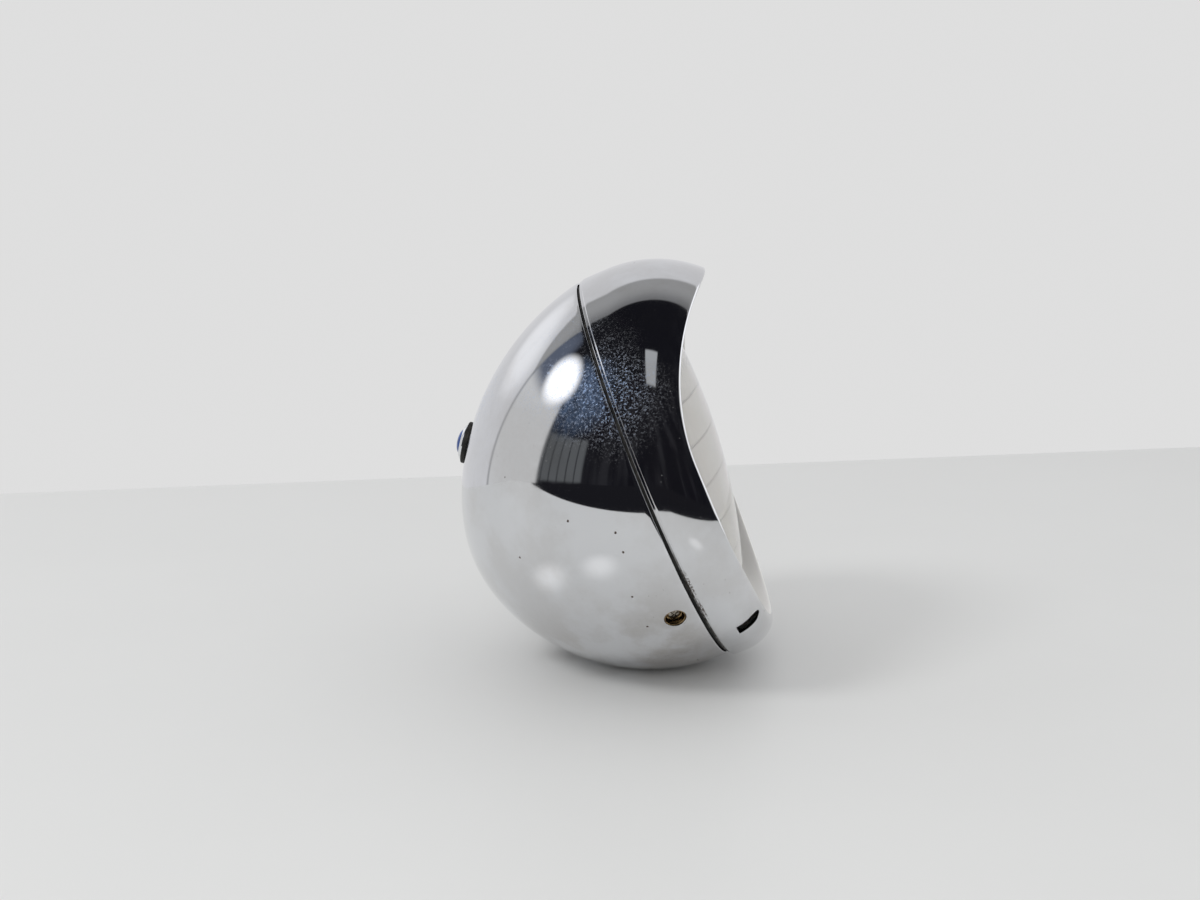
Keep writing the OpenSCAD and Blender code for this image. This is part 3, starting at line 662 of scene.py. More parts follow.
@dataclass(frozen=True)
class ChromePlate:
    """Polished chrome: pits, water spots tinted with a painted blue reflection, a brown film low
    down, dirt in the seam and painted shade in the slots.
    """

    name: str
    colour: Colour = (0.72, 0.73, 0.75)
    film: Colour = (0.45, 0.42, 0.39)
    inside: Colour = (0.88, 0.87, 0.85)
    rust: Colour = (0.07, 0.045, 0.03)
    water_spot_blue_sheen: Colour = (0.34, 0.54, 0.92)
    seam_dirt: Colour = (0.05, 0.043, 0.036)
    slot_painted_shade: Colour = (0.01, 0.01, 0.01)
    shine: float = 0.03
    stance: Stance = Stance()
    rim_widest: float = 7.0
    rim_length: float = 15.2
    rim_base: float = 74.0
    rim_bulge: float = 9.9
    pits: tuple[Point, ...] = (
        (-27.0, -74.5, 74.5), (-9.1, -80.0, 71.6), (-6.3, -79.2, 64.1), (-46.9, -58.4, 56.4),
        (-3.2, -73.3, 45.7), (2.2, -65.6, 32.1), (-21.5, 71.0, 60.0), (-40.0, 55.0, 52.0))
    water_spots_and_blue_sheen: tuple[Point, ...] = (
        (-19.3, -65.6, 125.7), (-31.9, -53.0, 131.8), (-13.4, -71.0, 120.2),
        (-24.0, 62.0, 128.0), (-70.0, -12.0, 110.0))
    chips: tuple[Point, ...] = ((19.1, -76.5, 51.9), (23.8, -69.9, 40.7), (30.0, 60.0, 30.0))
    stains: tuple[Point, ...] = ((47.0, 60.0, 57.0), (52.0, 40.0, 42.0))
    slots: tuple[Point, ...] = ((41.3, -54.0, 29.8), (41.3, 54.0, 29.8))

    def made(self) -> bpy.types.Material:
        """Builds the material from masks over the lamp's own frame.

        Returns:
            The material.
        """
        material, nodes, where = start_material(self.name)
        x, y, z = nodes.parts(where)
        c, s = cos(radians(self.stance.tilt)), sin(radians(self.stance.tilt))
        ahead, over = x - self.stance.back * METRE, z - self.stance.height * METRE
        place = ahead * c + over * s
        up = over * c - ahead * s
        radius = (y * y + up * up).root()
        cloud = nodes.noise(where, 34.0, 5.0, 0.62)
        fine = nodes.noise(where, 420.0, 4.0, 0.7)

        # Film low down, water spots carrying a painted blue reflection, dirt beside the seam,
        # chips on its rolled edge, and pits.
        low = up.rise(-0.02, -0.07) * place.rise(0.004, -0.012)
        film = (0.28 + 0.72 * low) * cloud.rise(0.40, 0.62) * (0.45 + 0.55 * fine)
        # Water spots, partly painted reflection: their blue tint stands in for blue light
        # mirrored in the chrome.
        water_spots_and_blue_sheen = (nodes.near_any(where, self.water_spots_and_blue_sheen, 15.0, 0.95) * cloud.rise(0.36, 0.58)
                 * nodes.noise(where, 1100.0, 5.0, 0.8).rise(0.50, 0.64))
        groove = place.inside(0.0009, 0.0019, 0.00015) * radius.rise(0.0836, 0.0832)
        dirt = groove * up.rise(0.005, -0.035) * (0.72 + 0.28 * fine.rise(0.62, 0.45))
        rolled = place.inside(0.0020, 0.0030, 0.0003)
        chips = (nodes.near_any(where, self.chips, 5.0, 0.6) * rolled
                 * nodes.noise(where, 1100.0, 4.0, 0.7).rise(0.46, 0.51))
        specks = (nodes.dots(where, 95.0, 0.045) * cloud.rise(0.48, 0.6)).most(
            nodes.dots(where, 310.0, 0.05) * cloud.rise(0.5, 0.56) * 0.6)
        pits = nodes.near_any(where, self.pits, 0.45, 0.4).most(specks).most(chips)

        # The rim's inside faces the beam's axis. The slots' walls lie under the rim's skin, whose
        # radius is base + bulge sqrt(1 - arc^2), and are painted near-black as shade.
        nx, ny, nz = nodes.parts(nodes.value(nodes.add("ShaderNodeNewGeometry"), "Normal"))
        facing = (ny * y + (nz * c - nx * s) * up) / radius.most(0.001)
        lining = facing.rise(-0.05, -0.35) * place.rise(0.004, 0.006)
        stain = lining * nodes.near_any(where, self.stains, 4.0, 0.9) * cloud.rise(0.35, 0.5)
        arc = ((place - self.rim_widest * METRE) / (self.rim_length * METRE)).most(0.0)
        bulge = self.rim_bulge * METRE * (1.0 - arc * arc).most(0.0).root()
        skin = self.rim_base * METRE + bulge
        # Painted shade: near-black over the slots' walls, standing in for the shade inside the
        # slots.
        cut = (radius - skin).rise(-0.0003, -0.0005) * nodes.near_any(
            where, self.slots, 6.6, 0.1)

        colour = nodes.tint(film, self.colour, self.film)
        colour = nodes.tint(lining, colour, self.inside)
        # Painted blue reflection over the water spots.
        colour = nodes.tint(water_spots_and_blue_sheen, colour, self.water_spot_blue_sheen)
        colour = nodes.tint(dirt, colour, self.seam_dirt)
        colour = nodes.tint(pits.most(stain), colour, self.rust)
        # Painted shade in the slots.
        colour = nodes.tint(cut, colour, self.slot_painted_shade)
        rough = (self.shine + 0.012 * cloud + 0.16 * film + 0.2 * water_spots_and_blue_sheen + 0.35 * dirt
                 + 0.4 * lining + 0.4 * pits.most(cut))
        metal = 1.0 - (0.6 * pits.most(stain)).most(0.6 * water_spots_and_blue_sheen).most(0.55 * lining)
        return end_material(material, nodes, {
            "Base Color": colour, "Roughness": rough, "Metallic": metal,
            "Normal": nodes.bump(0.05 * cloud - pits, 0.35, 0.3)})


@dataclass(frozen=True)
class ClearGlass:
    """Clear moulded glass with a faint film of dust."""

    name: str
    colour: Colour = (0.985, 0.965, 0.92)
    film: Colour = (0.97, 0.935, 0.86)
    roughness: float = 0.03
    clear: float = 0.74
    index: float = 1.5

    def made(self) -> bpy.types.Material:
        """Builds the material: the film's noise moves tint and roughness a little.

        Returns:
            The material.
        """
        material, nodes, where = start_material(self.name)
        film = nodes.noise(where, 60.0, 4.0).rise(0.45, 0.75)
        return end_material(material, nodes, {
            "Base Color": nodes.tint(film, self.colour, self.film),
            "Roughness": self.roughness + 0.08 * film,
            "IOR": self.index, "Transmission Weight": self.clear})


@dataclass(frozen=True)
class JewelGlass:
    """Deep blue moulded jewel."""

    name: str
    deep: Colour = (0.012, 0.04, 0.18)
    light: Colour = (0.025, 0.09, 0.30)

    def made(self) -> bpy.types.Material:
        """Builds the material: slow streaks of two blues.

        Returns:
            The material.
        """
        material, nodes, where = start_material(self.name)
        share = nodes.noise(where, 180.0, 2.0).rise(0.35, 0.7)
        return end_material(material, nodes, {
            "Base Color": nodes.tint(share, self.deep, self.light),
            "Roughness": 0.1 + 0.06 * share, "IOR": 1.5, "Specular IOR Level": 0.3})


@dataclass(frozen=True)
class Finishes:
    """Every material of the lamp."""

    shell: bpy.types.Material
    trim: bpy.types.Material
    zinc: bpy.types.Material
    steel: bpy.types.Material
    brass: bpy.types.Material
    bronze: bpy.types.Material
    screw: bpy.types.Material
    mirror: bpy.types.Material
    lens: bpy.types.Material
    bulb: bpy.types.Material
    jewel: bpy.types.Material
    rubber: bpy.types.Material
    moulding: bpy.types.Material
    tungsten: bpy.types.Material

    def of_slot(self, slot: Slot) -> bpy.types.Material:
        """The material that a carried-over solid takes for its slot."""
        return {Slot.CHROME: self.trim, Slot.ZINC: self.zinc, Slot.STEEL: self.steel,
                Slot.BRASS: self.brass, Slot.MIRROR: self.mirror, Slot.LENS: self.lens,
                Slot.BULB: self.bulb, Slot.JEWEL: self.jewel, Slot.RUBBER: self.rubber,
                Slot.MOULDING: self.moulding}[slot]


def make_finishes() -> Finishes:
    """Mixes every material once.

    Returns:
        The materials.
    """
    return Finishes(
        shell=ChromePlate("chrome_shell").made(),
        trim=PlainFinish("chrome_trim", (0.82, 0.84, 0.87), (0.74, 0.74, 0.74), 1.0, 0.05,
                         spread=0.04, relief=0.004).made(),
        zinc=PlainFinish("zinc_plate", (0.62, 0.63, 0.62), (0.50, 0.48, 0.42), 1.0, 0.28).made(),
        steel=PlainFinish("plain_steel", (0.36, 0.35, 0.33), (0.20, 0.11, 0.06), 0.9, 0.38,
                          spread=0.2, worn_from=0.56).made(),
        brass=PlainFinish("aged_brass", (0.52, 0.38, 0.19), (0.22, 0.13, 0.06), 1.0, 0.3,
                          spread=0.2, patch=300.0).made(),
        bronze=PlainFinish("rusty_bronze", (0.42, 0.29, 0.14), (0.05, 0.03, 0.018), 1.0, 0.13,
                           spread=0.14, patch=420.0, grain=1600.0, relief=0.03).made(),
        screw=PlainFinish("screw_steel", (0.42, 0.39, 0.34), (0.07, 0.04, 0.02), 1.0, 0.16,
                          spread=0.2, patch=600.0, relief=0.04).made(),
        mirror=PlainFinish("mirror_coat", (0.94, 0.935, 0.91), (0.89, 0.88, 0.84), 0.8, 0.16,
                           spread=0.1, relief=0.004).made(),
        lens=ClearGlass("lens_glass").made(),
        bulb=ClearGlass("bulb_glass", colour=(0.98, 0.98, 0.98), roughness=0.0, clear=1.0).made(),
        jewel=JewelGlass("blue_jewel").made(),
        rubber=PlainFinish("black_rubber", (0.018, 0.018, 0.018), (0.05, 0.048, 0.045), 0.0, 0.6,
                           patch=200.0, relief=0.08, specular=0.2).made(),
        moulding=PlainFinish("black_moulding", (0.03, 0.03, 0.032), (0.05, 0.05, 0.05), 0.0,
                             0.42).made(),
        tungsten=PlainFinish("tungsten", (0.30, 0.30, 0.31), (0.2, 0.2, 0.2), 1.0, 0.4).made())


def dress(piece: bpy.types.Object, material: bpy.types.Material, slot: Slot,
          *nodes: str) -> bpy.types.Object:
    """Gives a new piece its material and body, and hides the solids it stands for.

    Args:
        piece: the new piece.
        material: its material.
        slot: the record's slot that it belongs to; not used.
        nodes: names of the solids that it replaces.

    Returns:
        The same piece.
    """
    piece.data.materials.clear()
    piece.data.materials.append(material)
    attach(piece, "root")
    if nodes:
        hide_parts(*nodes)
    log.info("%s: %d faces", piece.name, len(piece.data.polygons))
    return piece


# ---- Shell ----

@dataclass(frozen=True)
class Bowl:
    """Pressed bowl behind the seam, with its holes and its flat seat."""

    radius: float = 82.3
    length: float = 88.49
    widest: float = 3.3
    power_long: float = 1.93
    power_round: float = 1.78
    sag: float = 0.118
    sag_ease: float = 0.0004
    wall: float = 0.9
    tail_soft: float = 0.08
    seat_soft: float = 0.4
    sides: int = 320
    along: int = 118
    bolt_hole: float = 5.25
    bolt_lip: float = 0.3

    def slice_radius(self, place: float) -> float:
        """Radius of the slice: R (1 - s^p)^(1/q), s the share of the way to the tail."""
        share = max(0.0, (self.widest - place) / self.length)
        return self.radius * (1 - share ** self.power_long) ** (1 / self.power_round)

    def centre(self, place: Any) -> Any:
        """Height of the slice's centre: place (sag + ease place)."""
        return place * (self.sag + self.sag_ease * place)

    def top(self, place: float) -> float:
        """Height of the bowl's top line."""
        return self.centre(place) + self.slice_radius(place)

    def bottom(self, place: float) -> float:
        """Height of the bowl's bottom line."""
        return self.centre(place) - self.slice_radius(place)

    def reach(self, place: float, down: float) -> float:
        """Distance from the beam's axis to the skin, at an angle under the horizontal."""
        low, r = -self.centre(place), self.slice_radius(place)
        return low * sin(radians(down)) + sqrt(r * r - (low * cos(radians(down))) ** 2)

    def outline(self, wall: float, start: float) -> Array:
        """Places and radii from near the seam to the tail, evenly spaced along the curve.

        The radius share w gives q = ((w^2 + e^2)^(p/2) - e^p), scaled to 1 at w = 1, and the
        length share is (1 - q)^(1 / long power); e rounds the very tail.

        Args:
            wall: how far the surface lies inside the skin.
            start: place where the outline begins.

        Returns:
            Points of (place, radius), the last one on the axis.
        """
        w = np.cos(np.linspace(0.0, pi / 2, 6000))
        e, p = self.tail_soft, self.power_round
        q = ((w * w + e * e) ** (p / 2) - e ** p) / ((1 + e * e) ** (p / 2) - e ** p)
        place = self.widest - (self.length - wall) * (1 - q) ** (1 / self.power_long)
        radius = (self.radius - wall) * w
        arc = np.concatenate([[0], np.cumsum(np.hypot(np.diff(place), np.diff(radius)))])
        first = np.interp(-start, -place, arc)
        t = np.linspace(first, arc[-1], self.along)
        return np.stack([np.interp(t, arc, place), np.interp(t, arc, radius)], -1)

    def build(self, stance: Stance, holes: Sequence[bpy.types.Object],
              material: bpy.types.Material) -> bpy.types.Object:
        """Makes the shell.

        Skin and inner wall meet in a half-oval edge at the seam. Each slice is a circle about
        its own centre. Over the seat the height h becomes (h + sqrt(h^2 + soft^2)) / 2, so the
        bottom is flat with a rolled border.

        Args:
            stance: the lamp's frames.
            holes: cutters for everything that passes through the shell.
            material: its finish.

        Returns:
            The dressed piece.
        """
        deep = self.wall
        outer, inner = self.outline(0.0, -deep), self.outline(self.wall, -deep)
        middle, thick = (outer[0, 1] + inner[0, 1]) / 2, (outer[0, 1] - inner[0, 1]) / 2
        a = np.linspace(0.0, pi, 13)[1:-1]
        edge = np.stack([-deep + deep * np.sin(a), middle + thick * np.cos(a)], -1)
        line = np.vstack([outer[-2::-1], edge, inner[:-1]])
        grid = revolve(line, self.sides)
        grid[..., 2] += self.centre(line[:, 0])
        tips = np.array([[p[0], 0.0, self.centre(p[0])] for p in (outer[-1], inner[-1])])
        grid, tips = placed(grid, stance.lamp), placed(tips, stance.lamp)
        floor = np.where(np.arange(len(line)) < len(outer) + len(edge) // 2, 0.0, self.wall)
        over = grid[..., 2] - floor
        grid[..., 2] = floor + (over + np.sqrt(over ** 2 + self.seat_soft ** 2)) / 2
        shell = shape("bowl_shell", grid, loop_cols=False, tips=tips)
        cut_out(shell, holes)
        return dress(shell, material, Slot.CHROME, "bucket")


@dataclass(frozen=True)
class HoodedRim:
    """Rim and hood folded from one sheet, its section changing all the way round."""

    radius: float = 83.9
    sheet: float = 1.2
    hem: float = 2.1
    face: float = 22.17
    reach: float = 27.95
    tip_radius: float = 67.7
    side_radius: float = 79.5
    nose_radius: float = 74.0
    hood_from: float = 5.0
    hood_full: float = 85.0
    roll_from: float = 15.0
    roll_full: float = 50.0
    arc: float = 45.0
    widest: float = 7.0
    hood_widest: float = 13.0
    hood_tuck: float = 1.0
    neck: float = 79.619
    neck_inside: float = 78.419
    neck_length: float = 4.0
    band: float = 82.3
    band_start: float = 1.2
    band_end: float = 2.5
    shoulder_fall: float = 0.14
    opening: float = 69.319
    flange_front: float = 19.2
    flange_back: float = FLANGE_BACK
    unit_drop: float = UNIT_DROP
    slot_place: float = 15.4
    slot_angle: float = 49.0
    slot_length: float = 10.0
    slot_width: float = 6.2
    slot_lip: float = 0.45
    sides: int = 440

    def hood(self, up: Array) -> Array:
        """Share of the hood at an angle over the horizontal."""
        return ease((up - self.hood_from) / (self.hood_full - self.hood_from))

    def crease(self, up: Array) -> Array:
        """Share of the sharp edge, which rolls over into a soft nose at the bottom."""
        return ease((up + self.roll_full) / (self.roll_full - self.roll_from))

    def rise(self, radius: Any, up: Array) -> Array:
        """How far the dropped unit's plane stands forward at a radius and an angle."""
        return tan(radians(self.unit_drop)) * radius * np.sin(np.radians(up))

    def sections(self, up: Array) -> Array:
        """The folded sheet's outline at each angle over the horizontal.

        The skin is a quarter ellipse cut short: place = widest + long sin a, radius = skin -
        deep (1 - cos a), reached over a parabola from the rolled edge beside the seam. At the
        sides and the hood it ends in a half-round hem and comes back along its own inside; at
        the bottom it rolls over in a cubic curve to the lens opening. The two are blended by
        the crease share.

        Args:
            up: angles over the horizontal, in degrees, shape (n,).

        Returns:
            Closed outlines of (place, radius), shape (n, points, 2).
        """
        hood, crease = self.hood(up), self.crease(up)
        edge = self.face + self.reach * hood
        edge_radius = mix(mix(self.nose_radius, self.side_radius, crease), self.tip_radius, hood)
        end = np.radians(90 - (90 - self.arc) * crease)
        widest = mix(self.widest, self.hood_widest, hood)
        top = self.radius - self.hood_tuck * hood
        long = (edge - widest) / np.sin(end)
        deep = (top - edge_radius) / (1 - np.cos(end))

        def skin(a: Array, inset: Any) -> Array:
            """Points of the sheet at angles a, shape (n, k), so far inside the skin."""
            return np.stack([widest[:, None] + (long[:, None] - inset) * np.sin(a),
                             (top - deep)[:, None] + (deep[:, None] - inset) * np.cos(a)], -1)

        def fan(first: Array, last: Array, count: int, skip: int = 0) -> Array:
            """Evenly spaced angles from first to last, shape (n, count - skip)."""
            return mix(first[:, None], last[:, None], np.linspace(0, 1, count))[:, skip:]

        def corners(*points: tuple[Any, Any]) -> Array:
            """Corner points for every section, shape (n, k, 2)."""
            pairs = [np.stack(np.broadcast_arrays(p + 0 * up, r + 0 * up), -1)
                     for p, r in points]
            return np.stack(pairs, 1)

        half = self.hem / 2
        speed = np.hypot(long * np.cos(end), deep * np.sin(end))
        tip = end - half * crease / speed
        first_skin = skin(fan(0 * up, tip, 46), 0.0)
        share = np.linspace(0.12, 1.0, 9)[:-1]
        start = self.band_end
        back = mix(start, widest[:, None], share)
        fall = (widest[:, None] - back) / (widest[:, None] - start)
        fall = self.shoulder_fall * fall ** 2
        shoulder = np.stack([back, top[:, None] - fall], -1)
        groove = rounded(np.concatenate([
            corners((-self.neck_length, self.neck_inside), (-self.neck_length, self.neck),
                    (self.band_start, self.neck), (self.band_start, self.band),
                    (start, self.band), (start, top - self.shoulder_fall)),
            shoulder[:, :1]], 1),
            [0.35, 0.2, 0.25, 0.25, 0.95])

        outer, inner = skin(tip[:, None], 0.0), skin(tip[:, None], self.hem)
        ahead = np.stack([long * np.cos(tip), -deep * np.sin(tip)], -1)
        ahead /= np.linalg.norm(ahead, axis=-1, keepdims=True)
        phi = np.linspace(0.0, pi, 9)[1:, None]
        hem = ((outer + inner) / 2 + (outer - inner) / 2 * np.cos(phi)
               + ahead[:, None] * half * np.sin(phi))
        plane = self.rise(self.side_radius, up)
        flange = np.arcsin((self.flange_front + plane - widest) / (long - self.sheet))
        hidden = np.arcsin((self.flange_back + plane - widest) / (long - self.sheet))
        narrowing = mix(self.hem, self.sheet, ease(np.linspace(0, 1, 15)[1:] * 5))
        folded = np.concatenate([hem, skin(fan(tip, flange, 15, 1), narrowing)], 1)

        lip = self.rise(self.opening, up)
        t = np.linspace(0, 1, folded.shape[1] + 1)[1:, None]
        nose = corners((edge, edge_radius))
        guide = nose + (0.0, -2.2)
        landing = corners((self.flange_front + 0.5 + lip, self.opening + 0.3))
        brake = landing + (0.8, 1.6)
        rolled = (nose * (1 - t) ** 3 + 3 * guide * t * (1 - t) ** 2
                  + 3 * brake * t ** 2 * (1 - t) + landing * t ** 3)
        front = mix(rolled, folded, crease[:, None, None])

        corner = skin(hidden[:, None], self.sheet)[:, 0, 1] - 0.4
        flat = corners((self.flange_back + self.rise((corner + self.opening) / 2, up),
                        (corner + self.opening) / 2),
                       (self.flange_back + self.rise(corner, up), corner))
        tuck = corners(((self.flange_back + lip + self.face - 1.4) / 2,
                        (self.opening + self.nose_radius + 0.6) / 2),
                       (self.face - 1.4, self.nose_radius + 0.6))
        behind = mix(tuck, flat, crease[:, None, None])
        mouth = rounded(np.concatenate([
            front[:, -1:], corners((self.flange_front + lip, self.opening),
                                   (self.flange_back + lip, self.opening)),
            behind[:, :1]], 1), [0.3, 0.3])
        inside = skin(fan(mix(np.radians(78) + 0 * up, hidden, crease), 0 * up, 7), self.sheet)
        bend = start + self.sheet
        under = self.band - self.sheet
        neck_bend = self.band_start + self.sheet
        tail = rounded(np.concatenate([
            inside[:, -1:], corners((bend, top - self.sheet), (bend, under), (neck_bend, under),
                                    (neck_bend, self.neck_inside),
                                    (-self.neck_length, self.neck_inside),
                                    (-self.neck_length, self.neck))], 1),
            [0.3, 0.3, 0.3, 0.3, 0.3], 3)
        return np.concatenate([groove, shoulder, first_skin, front, mouth, behind, inside, tail],
                              1)

    def slot_cutter(self, stance: Stance, hand: int) -> bpy.types.Object:
        """Cutter for a drain slot, square behind and round in front, with a rolled lip.

        Its outline is walked as a closed line; each point's wall follows the skin's height
        there and widens by the lip as it comes out.

        Args:
            stance: the lamp's frames.
            hand: 1 for the near side, -1 for the far side.

        Returns:
            The cutter.
        """
        half, lip = self.slot_width / 2, self.slot_lip
        back, front = -self.slot_length / 2, self.slot_length / 2 - half
        a = np.linspace(-pi / 2, pi / 2, 24)
        nose = np.stack([front + half * np.cos(a), half * np.sin(a)], -1)
        side = np.linspace(front, back, 20)[1:, None]
        end = np.linspace(half, -half, 10)[1:-1]
        line = np.vstack([
            nose, np.hstack([side, half + 0 * side]),
            np.stack([back + 0 * end, end], -1), np.hstack([side[::-1], -half + 0 * side])])
        along = np.roll(line, -1, 0) - np.roll(line, 1, 0)
        out = np.stack([along[:, 1], -along[:, 0]], -1)
        out /= np.linalg.norm(out, axis=1, keepdims=True)
        long, deep = self.face - self.widest, self.radius - self.nose_radius
        turn_share = np.clip((self.slot_place + line[:, 0] - self.widest) / long, 0, 0.98)
        skin = -deep * (1 - np.sqrt(1 - turn_share ** 2)) - line[:, 1] ** 2 / (2 * self.radius)
        t = np.linspace(0.0, lip, 5)
        wide = np.concatenate([[0.0], lip - np.sqrt(np.maximum(lip ** 2 - t ** 2, 0)), [lip]])
        high = np.concatenate([[-5.0], t - lip, [3.0]])
        grid = np.concatenate([line[:, None] + out[:, None] * wide[:, None],
                               (skin[:, None] + high)[..., None]], -1)
        matrix = stance.side(self.slot_place, self.radius, self.slot_angle, hand)
        tips = np.array([[0.0, 0.0, skin.min() - 5.5], [0.0, 0.0, 4.0]])
        return shape("cutter", placed(grid, matrix), loop_cols=False,
                     tips=placed(tips, matrix))

    def build(self, stance: Stance, material: bpy.types.Material) -> bpy.types.Object:
        """Sets the sections round the beam: (place, r sin a, r cos a), a from the top.

        Args:
            stance: the lamp's frames.
            material: its finish.

        Returns:
            The dressed piece.
        """
        a = np.linspace(0.0, 360.0, self.sides, endpoint=False)
        lines = self.sections(90 - np.minimum(a, 360 - a))
        turn_in = np.radians(a)[:, None]
        grid = np.stack([lines[..., 0], lines[..., 1] * np.sin(turn_in),
                         lines[..., 1] * np.cos(turn_in)], -1)
        rim = shape("hooded_rim", placed(grid, stance.lamp))
        cut_out(rim, [self.slot_cutter(stance, hand) for hand in (1, -1)])
        return dress(rim, material, Slot.CHROME, "rim")


@dataclass(frozen=True)
class SeamSeal:
    """Rubber ring in the seam between bowl and rim."""

    inner: float = 79.77
    width: float = 1.2
    inset: float = 1.1

    def build(self, stance: Stance, bowl: Bowl,
              material: bpy.types.Material) -> bpy.types.Object:
        """Turns a small section with soft corners.

        Args:
            stance: the lamp's frames.
            bowl: the shell, whose mouth gives the ring's size.
            material: its finish.

        Returns:
            The dressed piece.
        """
        outer = bowl.slice_radius(0.0) - self.inset
        line = closed_outline([(0.02, self.inner), (0.02, outer), (self.width - 0.02, outer),
                               (self.width - 0.02, self.inner)], 0.3)
        return dress(turned("seam_seal", line, stance.lamp, 200), material, Slot.RUBBER,
                     "rim_seal")


# ---- Light unit ----

@dataclass(frozen=True)
class Lens:
    """Domed lens, with level steps and upright flutes on its back."""

    face_radius: float = 69.019
    outer_radius: float = 72.519
    back_radius: float = 64.6
    curve: float = 250.0
    glass: float = 4.2
    edge_front: float = 17.85
    edge_back: float = 13.65
    stand: float = 1.1
    step_first: float = 10.6
    step_pitch: float = 15.8
    step_depth: float = 0.6
    step_low: float = 0.75
    step_high: float = 0.3
    edge_fade: float = 4.0
    flute: float = 7.4
    flute_depth: float = 0.03
    rows: int = 112
    columns: int = 210

    @property
    def centre(self) -> float:
        """Place of the dome's centre on the beam."""
        sag = self.curve - sqrt(self.curve ** 2 - self.face_radius ** 2)
        return self.edge_front + self.stand + sag - self.curve

    def back_place(self, y: Array, z: Array) -> Array:
        """Place of the back: an inner dome with flutes down it and grooves across it.

        Flutes stand flute depth times (1 - cos 2 pi s) / 2 proud, s the share across a flute,
        and die out at the edge. A groove is a V whose lower side is wider than its upper one.

        Args:
            y: across, any shape.
            z: up, same shape.

        Returns:
            Places along the beam.
        """
        dome = self.centre + np.sqrt((self.curve - self.glass) ** 2 - y * y - z * z)
        waves = 0.5 - 0.5 * np.cos(2 * pi * (y / self.flute + 0.5))
        edge = ease((self.back_radius - np.hypot(y, z)) / self.edge_fade)
        steps = (z - self.step_first) / self.step_pitch
        off = (steps - np.round(steps)) * self.step_pitch
        groove = np.maximum(0.0, 1 - np.where(off < 0, -off / self.step_low,
                                              off / self.step_high))
        return dome + edge * (self.step_depth * groove - self.flute_depth * waves)

    def build(self, stance: Stance, material: bpy.types.Material) -> bpy.types.Object:
        """Makes the lens from level rows, each a closed loop: face, edge, back, edge.

        Row k lies at radius times sin k, so the loops close up at top and bottom, where a strip
        joins each loop's two halves.

        Args:
            stance: the lamp's frames.
            material: its finish.

        Returns:
            The dressed piece.
        """
        lines = np.arange(-5, 5) * self.step_pitch + self.step_first
        lines = lines[np.abs(lines) < self.back_radius - 3]
        near = lines[:, None] + np.array([-self.step_low, -0.35, -0.1, 0.0, 0.1, self.step_high])
        k = np.concatenate([np.linspace(-89.2, 89.2, self.rows),
                            np.degrees(np.arcsin(near.ravel() / self.back_radius))])
        k = np.radians(np.sort(k))[:, None]
        t = np.linspace(-1.0, 1.0, self.columns)[None]
        y, z = self.face_radius * np.cos(k) * t, self.face_radius * np.sin(k) + 0 * t
        face = np.stack([self.centre + np.sqrt(self.curve ** 2 - y * y - z * z), y, z], -1)
        y, z = self.back_radius * np.cos(k) * -t, self.back_radius * np.sin(k) + 0 * t
        back = np.stack([self.back_place(y, z), y, z], -1)
        step = self.edge_front + self.stand
        rim = rounded(np.array([
            [step + 0.3, self.face_radius - 1.0], [step - 0.02, self.face_radius + 0.01],
            [self.edge_front, self.face_radius + 0.05], [self.edge_front, self.outer_radius],
            [self.edge_back, self.outer_radius], [self.edge_back, self.back_radius + 0.05],
            [self.edge_back + 0.3, self.back_radius - 1.0]]),
            [0.15, 0.1, 0.6, 0.6, 0.1], 4)
        near_edge = np.stack(np.broadcast_arrays(
            rim[:, 0], rim[:, 1] * np.cos(k), rim[:, 1] * np.sin(k)), -1)
        far_edge = near_edge[:, ::-1] * (1.0, -1.0, 1.0)
        grid = np.concatenate([face, near_edge, back, far_edge], 1)
        rows, cols = grid.shape[:2]
        across, edge = self.columns, len(rim)
        spans = np.split(np.arange(cols), np.cumsum([across, edge, across]))
        mirror = np.concatenate([spans[i][::-1] for i in (0, 3, 2, 1)])
        first = np.arange(across // 2, across + edge + across // 2)
        strip = np.stack([first[:-1], first[1:], mirror[first[1:]], mirror[first[:-1]]], -1)
        strip = strip[(strip[:, 0] != strip[:, 3]) & (strip[:, 1] != strip[:, 2])]
        high = strip[:, ::-1] + (rows - 1) * cols
        lens = shape("fluted_lens", placed(grid, stance.unit), extra=np.vstack([strip, high]))
        return dress(lens, material, Slot.LENS, "lens")


